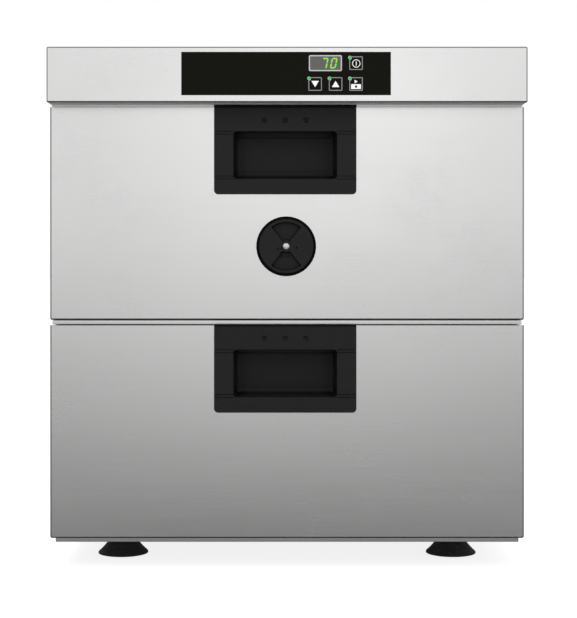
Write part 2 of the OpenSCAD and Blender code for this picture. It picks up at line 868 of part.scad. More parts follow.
module pan(rest) {
    color("#d6d7d8") difference() {
        union() {
            translate([0, 0, rest - pan_depth]) linear_extrude(pan_depth) pan_plan(0);
            translate([0, pan_y, rest]) linear_extrude(pan_t)
                round_rect(pan_w, pan_l, pan_r / 2);
        }
        translate([0, 0, rest - pan_depth + pan_t]) linear_extrude(pan_depth + cut)
            pan_plan(-pan_t);
    }
}

frame_screw_x = half_frame - 26;
frame_screw_drop = [12, 33];

// Screws from the frame into the front: four at its corners, two into the handle
module front_screw_places(z, rest) {
    for (x = [-1, 1], drop = frame_screw_drop)
        translate([x * frame_screw_x, 0, rest - drop]) children();
    for (x = [-1, 1])
        translate([handle_x + x * boss_x, 0, z + front_h + handle_rise - boss_z]) children();
}

module drawer_frame(z, rest) {
    color("#c2c3c4") difference() {
        span([-half_frame, half_frame], [y_skin, y_skin + frame_l], [rest - frame_h, rest]);
        span([frame_t - half_frame, half_frame - frame_t],
             [y_skin + frame_t, y_skin + frame_l - frame_t],
             [rest - frame_h - cut, rest - frame_t]);
        translate([0, 0, rest - 2 * frame_t]) linear_extrude(3 * frame_t) pan_plan(hole_gap);
        front_screw_places(z, rest) rod_y(0, 0, y_skin - cut, y_skin + 2 * frame_t,
                                          screw_r + skim);
    }
}

module front_screws(z, rest) {
    color("#a5a7a9") front_screw_places(z, rest) {
        rod_y(0, 0, y_skin + frame_t, y_skin + frame_t + head_h, head_r);
        rod_y(0, 0, y_skin + frame_t - screw_l, y_skin + frame_t, screw_r);
    }
}

// Outline of the front in X and Z
module front_shape(z, inset, r) {
    translate([0, z + front_h / 2]) round_rect(body_w - 2 * inset, front_h - 2 * inset, r);
}

handle_cut_w = handle_w - 2 * handle_lap;
handle_body_t = 6;

module front_skin(z, vented) {
    hole_z = z + front_h + handle_rise - handle_h + handle_lap;
    color("#d3d4d5") difference() {
        prism_y(y_face, y_skin) front_shape(z, 0, front_r);
        span([sheet - half_w, half_w - sheet], [y_face + sheet, y_skin + cut],
             [z + sheet, z + front_h - sheet]);
        span([handle_x - handle_cut_w / 2, handle_x + handle_cut_w / 2],
             [y_face - cut, y_face + handle_body_t + fit],
             [hole_z, z + front_h + cut]);
        if (vented) rod_y(vent_x, z + vent_z, y_face - cut, y_face + 2 * sheet, duct_r + fit);
    }
}

module front_lining(z, rest, vented) {
    color("#c9cacb") difference() {
        span([sheet - half_w, half_w - sheet], [y_skin - sheet, y_skin],
             [z + sheet, z + front_h - sheet]);
        front_screw_places(z, rest) rod_y(0, 0, y_skin - 2 * sheet, y_skin + cut,
                                          screw_r + skim);
        if (vented) rod_y(vent_x, z + vent_z, y_skin - 2 * sheet, y_skin + cut, duct_r + fit);
    }
}

// Outer size of the handle's pocket box, which the insulation clears by room
module handle_box(z, room) {
    top = z + front_h + handle_rise;
    span([handle_x - boss_x - boss_r - room, handle_x + boss_x + boss_r + room],
         [y_face, y_face + pocket_d + pocket_wall + room],
         [top - band_top - pocket_h - pocket_wall - room,
          top - band_top + hook_h + pocket_wall + room]);
    for (x = [-1, 1]) rod_y(handle_x + x * boss_x, top - boss_z, y_face + pocket_d,
                            y_skin - sheet, boss_r + room);
}

module front_insulation(z, rest, vented) {
    top = z + front_h + handle_rise;
    color("#d9cf9e") difference() {
        span([sheet - half_w, half_w - sheet], [y_face + sheet, y_skin - sheet],
             [z + sheet, z + front_h - sheet]);
        handle_box(z, 0.5);
        span([handle_x - handle_cut_w / 2 - fit, handle_x + handle_cut_w / 2 + fit],
             [y_face, y_face + handle_body_t + 0.5],
             [top - handle_h + handle_lap - fit, z + front_h]);
        front_screw_places(z, rest) rod_y(0, 0, y_skin - screw_l, y_skin, screw_r + 0.5);
        if (vented) rod_y(vent_x, z + vent_z, y_face, y_skin, duct_r + 0.5);
    }
}

// Ring seal round the opening, on the rear of the front
module gasket(open_z) {
    w = 2 * half_in + 2 * seal_set;
    h = open_h + 2 * seal_set;
    color("#8b8d8f") prism_y(y_skin, y_cab) translate([0, open_z + open_h / 2]) difference() {
        round_rect(w + 2 * seal_w, h + 2 * seal_w, 8);
        round_rect(w, h, 2);
    }
}

module handle(z) {
    top = z + front_h + handle_rise;
    pocket_top = top - band_top;
    pocket_bot = pocket_top - pocket_h;
    y0 = y_face - handle_proud;
    color("#1d1d1f") difference() {
        union() {
            // Plate on the steel, with round lower corners
            prism_y(y0, y_face) translate([handle_x, top - handle_h]) {
                translate([-handle_w / 2, handle_r]) square([handle_w, handle_h - handle_r]);
                translate([handle_r - handle_w / 2, 0]) square([handle_w - 2 * handle_r, 9]);
                for (x = [-1, 1]) translate([x * (handle_w / 2 - handle_r), handle_r])
                    circle(handle_r);
            }
            // Body in the cut-out, and the pocket's box behind it
            span([handle_x - handle_cut_w / 2 + fit, handle_x + handle_cut_w / 2 - fit],
                 [y_face, y_face + handle_body_t],
                 [top - handle_h + handle_lap + fit, z + front_h]);
            handle_box(z, 0);
        }
        // Finger pocket and the hook behind its upper edge
        prism_y(y0 - cut, y_face + pocket_d)
            translate([handle_x, (pocket_top + pocket_bot) / 2])
                round_rect(pocket_w, pocket_h, 3);
        span([handle_x - pocket_w / 2 + 3, handle_x + pocket_w / 2 - 3],
             [y_face + hook_wall, y_face + pocket_d], [pocket_top - 5, pocket_top + hook_h]);
        // Sunk band beside the pocket
        for (x = [-1, 1])
            span([handle_x + x * (handle_w + pocket_w) / 4 - handle_w / 2,
                  handle_x + x * (handle_w + pocket_w) / 4 + handle_w / 2],
                 [y0 - cut, y0 + band_drop],
                 [pocket_bot + band_h, pocket_top - band_h]);
        // Dimples above the pocket
        for (i = [-1, 0, 1])
            rod_y(handle_x + i * dimple_pitch, top - dimple_drop, y0 - cut, y0 + dimple_d,
                  dimple_r);
        for (x = [-1, 1])
            rod_y(handle_x + x * boss_x, top - boss_z, y_skin + frame_t - screw_l - 1, y_skin,
                  screw_r + skim);
    }
}

// ---- Moisture vent ----------------------------------------------------------------

vent_cz = z_upper + vent_z;

// A ring sector in X and Z about the vent's centre, middle at angle a
module sector(r0, r1, a, half) {
    difference() {
        intersection() {
            circle(r1);
            polygon([[0, 0], 2 * r1 * [cos(a - half), sin(a - half)],
                     2 * r1 * [cos(a), sin(a)], 2 * r1 * [cos(a + half), sin(a + half)]]);
        }
        circle(r0);
    }
}

// Fixed seat: flange, perforated face, duct through the front, boss for the pivot
module vent_seat() {
    y0 = y_face - seat_t;
    color("#1b1b1d") translate([vent_x, 0, vent_cz]) difference() {
        union() {
            rod_y(0, 0, y0, y_face, vent_r);
            difference() {
                rod_y(0, 0, y_face - fit, y_skin, duct_r);
                rod_y(0, 0, y_face, y_skin + cut, duct_r - duct_wall);
            }
            rod_y(0, 0, y0, y0 + hub_l, hub_r);
        }
        rod_y(0, 0, y0 - cut, y0 + hub_l + cut, pivot_thread_r + skim);
        for (side = [0, 180], ring = [0, 1], i = [-1 - ring:1 + ring])
            rotate([0, side + i * (26 - 8 * ring), 0])
                rod_y(11 + 6 * ring, 0, y0 - cut, y_face + cut, vent_hole_r, $fn = 24);
    }
}

// Turning dial with two windows; a quarter turn brings them over the seat's holes
module vent_dial() {
    y0 = y_face - seat_t - dial_gap - dial_t;
    color("#202022") translate([vent_x, 0, vent_cz]) difference() {
        union() {
            rod_y(0, 0, y0 + 1, y0 + dial_t, dial_r);
            translate([0, y0 + 1, 0]) rotate([90, 0, 0])
                cylinder(h = 1, r1 = dial_r, r2 = dial_r - 1);
        }
        prism_y(y0 - cut, y0 + dial_t + cut) for (a = [90, -90])
            sector(window_in, window_out, a, window_half);
        rod_y(0, 0, y0 - cut, y0 + dial_t + cut, pivot_r + skim);
    }
}

module vent_screw() {
    seat = y_face - seat_t;
    top = seat - 2 * dial_gap - dial_t;
    color("#e9eaea") translate([vent_x, 0, vent_cz]) {
        rod_y(0, 0, top - pivot_head_h, top, pivot_head_r);
        rod_y(0, 0, top - 0.1, seat, pivot_r);
        rod_y(0, 0, seat - 0.1, seat + hub_l - 1, pivot_thread_r);
    }
}

// ---- Nodes ------------------------------------------------------------------------

mirror([1, 0, 0]) side_panel();  // left_side_panel
side_panel();  // right_side_panel
back_panel();
base_pan();
front_frame();
chamber_liner();
cabinet_insulation();
top_cover();
cap_floor();
cap_back();
control_panel();
display_lens();
display_module();
control_board();
key_switches();
status_leds();
power_board();
transformer();
terminal_block();
cable_gland();
heating_element();
element_supports();
temperature_probe();
safety_thermostat();
internal_wiring();
feet();
foot_bolts();
casing_screws();
union() {  // slide_outer_members
    slide_outer(upper_rest);
    slide_outer(lower_rest);
}
slide_mid(upper_rest);  // upper_slide_mid
slide_mid(lower_rest);  // lower_slide_mid
outer_balls(upper_rest);  // upper_outer_balls
inner_balls(upper_rest);  // upper_inner_balls
outer_balls(lower_rest);  // lower_outer_balls
inner_balls(lower_rest);  // lower_inner_balls
front_skin(z_upper, true);  // upper_front_skin
front_lining(z_upper, upper_rest, true);  // upper_front_lining
front_insulation(z_upper, upper_rest, true);  // upper_front_insulation
gasket(upper_open);  // upper_gasket
handle(z_upper);  // upper_handle
drawer_frame(z_upper, upper_rest);  // upper_drawer_frame
pan(upper_rest);  // upper_pan
slide_inner(upper_rest);  // upper_slide_inner
front_screws(z_upper, upper_rest);  // upper_screws
vent_seat();
vent_screw();
vent_dial();
front_skin(z_lower, false);  // lower_front_skin
front_lining(z_lower, lower_rest, false);  // lower_front_lining
front_insulation(z_lower, lower_rest, false);  // lower_front_insulation
gasket(lower_open);  // lower_gasket
handle(z_lower);  // lower_handle
drawer_frame(z_lower, lower_rest);  // lower_drawer_frame
pan(lower_rest);  // lower_pan
slide_inner(lower_rest);  // lower_slide_inner
front_screws(z_lower, lower_rest);  // lower_screws
key(0);  // power_key
key(1);  // down_key
key(2);  // up_key
key(3);  // start_key
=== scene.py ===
"""Countertop warming drawer: the looks of the cabinet, built round its CAD frame.

The file is laid out as an add-on and run as a script. Mesh code works in millimetres in
the frame of the CAD, and each finished piece is scaled to metres.
"""
import json
import math

import bmesh
import bpy
from bpy.props import FloatProperty, FloatVectorProperty, IntProperty, PointerProperty
from mathutils import Matrix, Vector


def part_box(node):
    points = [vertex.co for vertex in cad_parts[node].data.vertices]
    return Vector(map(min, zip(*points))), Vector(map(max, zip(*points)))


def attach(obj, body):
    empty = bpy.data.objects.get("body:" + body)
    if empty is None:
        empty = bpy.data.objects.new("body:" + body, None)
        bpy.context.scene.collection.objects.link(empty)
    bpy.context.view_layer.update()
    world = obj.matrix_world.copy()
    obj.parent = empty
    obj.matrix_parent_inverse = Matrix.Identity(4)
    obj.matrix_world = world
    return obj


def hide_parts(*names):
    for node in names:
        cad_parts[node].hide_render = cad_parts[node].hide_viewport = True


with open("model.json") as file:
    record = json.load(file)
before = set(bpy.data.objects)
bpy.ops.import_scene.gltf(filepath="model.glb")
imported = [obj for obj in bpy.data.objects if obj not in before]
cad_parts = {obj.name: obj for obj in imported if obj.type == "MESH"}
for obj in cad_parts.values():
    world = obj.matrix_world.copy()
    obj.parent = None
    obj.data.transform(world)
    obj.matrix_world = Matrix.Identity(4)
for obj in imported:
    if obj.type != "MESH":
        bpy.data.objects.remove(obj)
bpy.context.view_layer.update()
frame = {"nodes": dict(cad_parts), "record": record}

bl_info = {
    "name": "Countertop warming drawer",
    "version": (1, 0, 0),
    "blender": (4, 5, 0),
    "location": "View3D > Sidebar > Warming drawer",
    "description": "Builds the looks of a two-drawer warming cabinet round its CAD frame",
    "category": "Object",
}

MM = 0.001
AXES = "xyz"
FLAT = math.radians(0.5)  # edges that turn by less are dissolved
NEAR = 1e-4  # points nearer than this are one
DRAWERS = ("upper", "lower")
KEYS = ("power", "down", "up", "start")
BODY_OF = {node: body for body, nodes in frame["record"]["behaviour"]["bodies"].items()
           for node in nodes}


# ---- Sizes and colours that a user may change ---------------------------------------

def length(name, description, default):
    return FloatProperty(name=name, description=description, default=default * MM, min=0.0,
                         precision=5, subtype="DISTANCE", unit="LENGTH")


def share(name, description, default):
    return FloatProperty(name=name, description=description, default=default, min=0.0,
                         max=1.0, subtype="FACTOR")


def colour(name, description, default):
    return FloatVectorProperty(name=name, description=description, default=default, size=3,
                               min=0.0, max=1.0, subtype="COLOR")


class WarmingSizes(bpy.types.PropertyGroup):
    sheet: length("Sheet", "Thickness of the casing sheet", 1.0)
    cap_bend: length("Cap bend", "Outside radius of the bends of the control cap", 1.6)
    front_bend: length("Front bend", "Outside radius of the bends of a drawer front", 1.9)
    handle_edge: length("Handle edge", "Rounding of the outer edge of a handle plate", 0.4)
    pocket_draft: length("Pocket draft", "How far a pocket's walls lean in over its depth", 1.3)
    pocket_fillet: length("Pocket fillet", "Radius between a pocket's walls and floor", 6.0)
    window_draft: length("Window draft", "How far the walls of the vent's windows lean", 1.2)
    perforation: length("Perforation", "Radius of the pinholes round the vent's hub", 1.0)
    pan_fillet: length("Pan fillet", "Radius round the bottom of a food pan", 14.0)
    pan_draft: length("Pan draft", "How far a pan's walls lean in over their height", 4.0)
    print_proud: length("Print height", "Height of the printed marks on the panel", 0.06)
    key_line: length("Key outline", "Width of the line printed round a key", 0.85)
    digit_height: length("Digit height", "Height of a digit of the display", 11.0)
    digit_stroke: length("Digit stroke", "Width of a segment of the display", 1.5)
    recess_width: length("Recess width", "Width of the cross recess of a screw", 0.9)
    hood_depth: length("Louvre depth", "How far a louvre's hood stands out", 2.0)
    camera_lens: FloatProperty(name="Camera lens", description="Focal length of the camera",
                               default=87.4, min=10.0, subtype="DISTANCE_CAMERA")
    render_levels: IntProperty(name="Bevel steps", description="Steps of a rounded edge",
                               default=2, min=1, max=6)


class WarmingColours(bpy.types.PropertyGroup):
    steel: colour("Steel", "Brushed steel of the casing and the fronts", (0.735, 0.735, 0.73))
    inner: colour("Inner steel", "Mill-finished steel of the chamber", (0.62, 0.625, 0.63))
    pan: colour("Pan steel", "Polished steel of the food pans", (0.72, 0.725, 0.73))
    zinc: colour("Zinc", "Bright zinc plate of the slides and screws", (0.56, 0.60, 0.66))
    plastic: colour("Black plastic", "Moulded plastic of the handles and vent",
                    (0.0082, 0.0082, 0.0084))
    panel: colour("Panel", "Black face of the control panel", (0.0036, 0.0036, 0.0022))
    window: colour("Window", "Grey window of the display", (0.087, 0.091, 0.083))
    digits: colour("Digits", "Lit digits of the display", (0.30, 0.80, 0.07))
    lamp: colour("Lamps", "Lit indicator lamps", (0.0, 0.40, 0.045))
    lamp_rim: colour("Lamp rims", "Glow round the lit lamps", (0.27, 0.76, 0.38))
    prints: colour("Prints", "White print on the panel", (0.72, 0.72, 0.72))
    outlines: colour("Outlines", "Grey print round the keys", (0.19, 0.19, 0.185))
    rubber: colour("Foot rubber", "Black rubber of the feet", (0.015, 0.015, 0.0155))
    seal: colour("Seal rubber", "Grey rubber of the door seals", (0.16, 0.165, 0.17))
    wool: colour("Insulation", "Fibre slabs inside the walls", (0.62, 0.52, 0.22))
    stage_far: share("Far floor", "Brightness of the floor far away, in reflections", 1.0)


def mm(name):
    """A size in millimetres."""
    return getattr(bpy.context.scene.warming_sizes, name) / MM


def tint(name):
    """A colour as four channels."""
    return (*getattr(bpy.context.scene.warming_colours, name), 1.0)


# ---- Places from the frame, in millimetres ------------------------------------------

def limits(node):
    low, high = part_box(node)
    return low / MM, high / MM


CAP = limits("top_cover")
FRONT = {drawer: limits(drawer + "_front_skin") for drawer in DRAWERS}
HANDLE = {drawer: limits(drawer + "_handle") for drawer in DRAWERS}
PANEL = limits("control_panel")
DIAL = limits("vent_dial")
SEAT = limits("vent_seat")


def middle(corners, axis):
    return (corners[0][axis] + corners[1][axis]) / 2


def front_middle(corners):
    """The X and Z of a box's middle, as it is seen from the front."""
    return middle(corners, 0), middle(corners, 2)


# ---- Mesh helpers, in millimetres ---------------------------------------------------

def box(low, high, rounded=0.0, steps=4, keep=()):
    """A box whose edges are rounded, but for those on the sides in keep, such as "+y"."""
    mesh = bmesh.new()
    bmesh.ops.create_cube(mesh, size=1.0)
    for vert in mesh.verts:
        vert.co = [low[i] if vert.co[i] < 0 else high[i] for i in range(3)]

    def kept(edge):
        ends = [(AXES.index(side[1]), high if side[0] == "+" else low) for side in keep]
        return any(all(abs(v.co[i] - end[i]) < 1e-6 for v in edge.verts) for i, end in ends)

    if rounded:
        bmesh.ops.bevel(mesh, geom=[e for e in mesh.edges if not kept(e)], offset=rounded,
                        segments=steps, profile=0.5, affect="EDGES", clamp_overlap=True)
    return mesh


def arc(centre, radius, start, end, steps):
    """Points of an arc between two angles in degrees."""
    angles = [math.radians(start + (end - start) * i / steps) for i in range(steps + 1)]
    return [(centre[0] + radius * math.cos(a), centre[1] + radius * math.sin(a))
            for a in angles]


def rounded_rectangle(width, height, radius, steps=6, centre=(0.0, 0.0)):
    """Outline of a rectangle with round corners, anticlockwise from the upper right one.

    The radius may be a pair, for the upper and the lower corners.
    """
    upper, lower = radius if isinstance(radius, tuple) else (radius, radius)
    points = []
    for i, (sx, sy) in enumerate(((1, 1), (-1, 1), (-1, -1), (1, -1))):
        r = max(upper if sy > 0 else lower, 1e-3)
        corner = (centre[0] + sx * (width / 2 - r), centre[1] + sy * (height / 2 - r))
        points += arc(corner, r, 90 * i, 90 * i + 90, steps)
    return points


def along(axis, u, v, w):
    """A point from its two places across an axis and its place along it."""
    return {"x": (w, u, v), "y": (u, w, v), "z": (u, v, w)}[axis]


def loft(rings, closed=False):
    """A skin over rings that have as many points each; a ring of one point is a pole."""
    mesh = bmesh.new()
    rings = [[mesh.verts.new(point) for point in ring] for ring in rings]
    pairs = list(zip(rings, rings[1:])) + ([(rings[-1], rings[0])] if closed else [])
    for first, second in pairs:
        count = max(len(first), len(second))
        for i in range(count):
            corners = [first[i % len(first)], first[(i + 1) % len(first)],
                       second[(i + 1) % len(second)], second[i % len(second)]]
            mesh.faces.new(list(dict.fromkeys(corners)))
    if not closed:
        for ring in (rings[0], rings[-1]):
            if len(ring) > 2:
                mesh.faces.new(ring)
    bmesh.ops.recalc_face_normals(mesh, faces=mesh.faces)
    return mesh


def raised(level, *points):
    """The points of a profile whose second numbers count from a level."""
    return [(u, level + v) for u, v in points]


def lathe(profile, centre, steps=48, closed=False, axis="y"):
    """Turns a profile of (radius, place along the axis) round a line at centre."""
    rings = []
    for radius, place in profile:
        if radius < 1e-6:
            rings.append([along(axis, centre[0], centre[1], place)])
            continue
        turn = [2 * math.pi * k / steps for k in range(steps)]
        rings.append([along(axis, centre[0] + radius * math.cos(a),
                            centre[1] + radius * math.sin(a), place) for a in turn])
    return loft(rings, closed=closed)


def prism(outline, start, end, axis="y"):
    """An outline drawn along an axis."""
    return loft([[along(axis, u, v, w) for u, v in outline] for w in (start, end)])


def upright(outline, y):
    """An outline in X and Z, stood up at a place along Y."""
    return [(x, y, z) for x, z in outline]


def frame_ring(outer, inner, start, end):
    """A frame between two outlines that have as many points."""
    return loft([upright(outer, start), upright(outer, end), upright(inner, end),
                 upright(inner, start)], closed=True)


def rounded_path(points, radius, steps=6):
    """A line through points, with its corners turned into arcs."""
    points = [Vector(point) for point in points]
    path = [points[0]]
    for before, corner, after in zip(points, points[1:], points[2:]):
        back, on = (before - corner).normalized(), (after - corner).normalized()
        reach = radius / math.tan(back.angle(on) / 2)
        centre = corner + (back + on).normalized() * math.hypot(radius, reach)
        start, end = corner + back * reach - centre, corner + on * reach - centre
        turn = start.angle(end)
        path += [centre + (start * math.sin(turn * (1 - i / steps))
                           + end * math.sin(turn * i / steps)) / math.sin(turn)
                 for i in range(steps + 1)]
    return path + [points[-1]]


def tube(path, radius, sides=12):
    """A round bar along a line of points."""
    path = [Vector(point) for point in path]
    heading = (path[1] - path[0]).normalized()
    across = heading.orthogonal().normalized()
    rings = []
    for i, point in enumerate(path):
        ahead = (path[min(i + 1, len(path) - 1)] - path[max(i - 1, 0)]).normalized()
        across = (across - ahead * across.dot(ahead)).normalized()
        other = ahead.cross(across)
        rings.append([point + radius * (across * math.cos(2 * math.pi * k / sides)
                                        + other * math.sin(2 * math.pi * k / sides))
                      for k in range(sides)])
    return loft(rings)


def joined(*meshes):
    """Several shapes in one mesh."""
    whole = bmesh.new()
    for mesh in meshes:
        part = bpy.data.meshes.new("part")
        mesh.to_mesh(part)
        mesh.free()
        whole.from_mesh(part)
        bpy.data.meshes.remove(part)
    return whole


def copied(node, longer_than=0.0):
    """The merged mesh of a CAD node, or only its loose parts that are long enough in Y."""
    mesh = bmesh.new()
    mesh.from_mesh(frame["nodes"][node].data)
    bmesh.ops.scale(mesh, vec=(1 / MM,) * 3, verts=mesh.verts)
    bmesh.ops.remove_doubles(mesh, verts=mesh.verts, dist=0.002)
    unseen = set(mesh.verts) if longer_than else set()
    while unseen:
        part, ahead = set(), [unseen.pop()]
        while ahead:
            vert = ahead.pop()
            part.add(vert)
            near = {edge.other_vert(vert) for edge in vert.link_edges} & unseen
            unseen -= near
            ahead += near
        places = [vert.co.y for vert in part]
        if max(places) - min(places) <= longer_than:
            bmesh.ops.delete(mesh, geom=list(part), context="VERTS")
    bmesh.ops.dissolve_limit(mesh, angle_limit=FLAT, verts=mesh.verts,
                             edges=mesh.edges)
    return mesh


def as_object(mesh, name):
    data = bpy.data.meshes.new(name)
    mesh.to_mesh(data)
    mesh.free()
    made = bpy.data.objects.new(name, data)
    bpy.context.scene.collection.objects.link(made)
    return made


def flattened(made):
    """The object's modifiers, worked into a plain mesh."""
    bpy.context.view_layer.update()
    graph = bpy.context.evaluated_depsgraph_get()
    data = bpy.data.meshes.new_from_object(made.evaluated_get(graph), depsgraph=graph)
    made.modifiers.clear()
    old, made.data = made.data, data
    data.name = made.name
    bpy.data.meshes.remove(old)
    return made


def carve(base, *tools, operation="DIFFERENCE"):
    """Cuts the tools out of base, or joins them to it."""
    body = as_object(base, "carved")
    cutters = [as_object(tool, "tool") for tool in tools]
    for cutter in cutters:
        step = body.modifiers.new("carve", "BOOLEAN")
        step.object, step.operation, step.solver = cutter, operation, "EXACT"
    flattened(body)
    result = bmesh.new()
    result.from_mesh(body.data)
    for spent in (body, *cutters):
        data = spent.data
        bpy.data.objects.remove(spent)
        bpy.data.meshes.remove(data)
    bmesh.ops.remove_doubles(result, verts=result.verts, dist=NEAR)
    return result


def piece(name, mesh, look, on, replaces=False, edge=0.0, angle=35, steps=None):
    """Finishes a shape as a piece that rides with the body of the CAD node named by on."""
    bmesh.ops.remove_doubles(mesh, verts=mesh.verts, dist=NEAR)
    bmesh.ops.dissolve_degenerate(mesh, edges=mesh.edges, dist=NEAR)
    bmesh.ops.dissolve_limit(mesh, angle_limit=FLAT, verts=mesh.verts,
                             edges=mesh.edges)
    bmesh.ops.recalc_face_normals(mesh, faces=mesh.faces)
    bmesh.ops.scale(mesh, vec=(MM,) * 3, verts=mesh.verts)
    made = as_object(mesh, name)
    made.data.materials.append(LOOKS[look])
    if edge:
        rounding = made.modifiers.new("edges", "BEVEL")
        rounding.width = edge * MM
        rounding.segments = steps or bpy.context.scene.warming_sizes.render_levels
        rounding.limit_method = "ANGLE"
        rounding.angle_limit = math.radians(angle)
    made.data.shade_smooth()
    made.data.set_sharp_from_angle(angle=math.radians(angle))
    shading = made.modifiers.new("shading", "WEIGHTED_NORMAL")
    shading.keep_sharp = True
    flattened(made)
    settle(made, on, replaces)


def settle(made, on, replaces):
    """Puts a finished piece on the body of a CAD node, and in that node's place if asked."""
    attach(made, BODY_OF[on])
    if replaces:
        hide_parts(on)


def dressed(node, look, edge=0.35, name=None, tools=(), longer_than=0.0, **rest):
    """A CAD node's own shape with rounded edges, in the node's place."""
    mesh = copied(node, longer_than)
    if tools:
        mesh = carve(mesh, *tools)
    piece(name or node + "_finished", mesh, look, node, True, edge, **rest)


# ---- Node helpers -------------------------------------------------------------------

def place(tree, kind, values=None, **settings):
    """Adds a node with its settings, and fills or links its sockets."""
    made = tree.nodes.new(kind)
    for key, value in settings.items():
        setattr(made, key, value)
    for key, value in (values or {}).items():
        if isinstance(value, bpy.types.NodeSocket):
            tree.links.new(value, made.inputs[key])
        else:
            made.inputs[key].default_value = value
    return made


def group(name, kind, inputs, outputs):
    """A node group with named sockets; gives the tree, its inputs and its outputs."""
    tree = bpy.data.node_groups.new(name, kind)
    for label, socket_type, default in inputs:
        socket = tree.interface.new_socket(label, in_out="INPUT",
                                           socket_type="NodeSocket" + socket_type)
        if default is not None:
            socket.default_value = default
    for label, socket_type in outputs:
        tree.interface.new_socket(label, in_out="OUTPUT",
                                  socket_type="NodeSocket" + socket_type)
    entry, leave = tree.nodes.new("NodeGroupInput"), tree.nodes.new("NodeGroupOutput")
    return tree, entry.outputs, leave.inputs


def remap(tree, value, low, high, start=0.0, end=1.0):
    return place(tree, "ShaderNodeMapRange", {"Value": value, "From Min": start, "From Max": end,
                                              "To Min": low, "To Max": high}).outputs[0]


def math_of(tree, operation, first, second=0.0):
    return place(tree, "ShaderNodeMath", {0: first, 1: second}, operation=operation).outputs[0]


def product(tree, *values):
    result = values[0]
    for value in values[1:]:
        result = math_of(tree, "MULTIPLY", result, value)
    return result


def noise_of(tree, scale, detail=2.0, vector=None, roughness=0.5):
    return place(tree, "ShaderNodeTexNoise", {
        "Vector": vector or surface(tree, "Object"), "Scale": scale, "Detail": detail,
        "Roughness": roughness}).outputs[0]


def grower(name, **sizes):
    """A geometry tree that sets a shape at each of the object's points.

    Gives the tree, its inputs and a function that ends it with the shape to set.
    """
    inputs = [("Geometry", "Geometry", None)]
    inputs += [(label.replace("_", " "), "Int" if isinstance(size, int) else "Float", size)
               for label, size in sizes.items()]
    tree, given, out = group(name, "GeometryNodeTree", inputs + [("Material", "Material", None)],
                             [("Geometry", "Geometry")])

    def ended(shape, **turned):
        rows = place(tree, "GeometryNodeInstanceOnPoints", {
            "Points": given["Geometry"], "Instance": shape, **turned})
        real = place(tree, "GeometryNodeRealizeInstances", {0: rows.outputs[0]})
        dyed = place(tree, "GeometryNodeSetMaterial", {
            "Geometry": real.outputs[0], "Material": given["Material"]})
        tree.links.new(dyed.outputs[0], out["Geometry"])
        return tree

    return tree, given, ended


def axes_of(tree, vector):
    """The three parts of a vector."""
    return place(tree, "ShaderNodeSeparateXYZ", {0: vector}).outputs


def surface(tree, output):
    """What a shader knows of the place on the surface, such as Object or Normal."""
    return place(tree, "ShaderNodeTexCoord").outputs[output]


# ---- Effects that several finishes share --------------------------------------------

EFFECTS = {}


def effect_group(name, label, outputs=("Mask",), **inputs):
    """Starts an effect's group; gives its tree, its inputs and its outputs."""
    made = group(label, "ShaderNodeTree",
                 [(key.capitalize(), "Float", value) for key, value in inputs.items()],
                 [(key, "Float") for key in outputs])
    EFFECTS[name] = made[0]
    return made


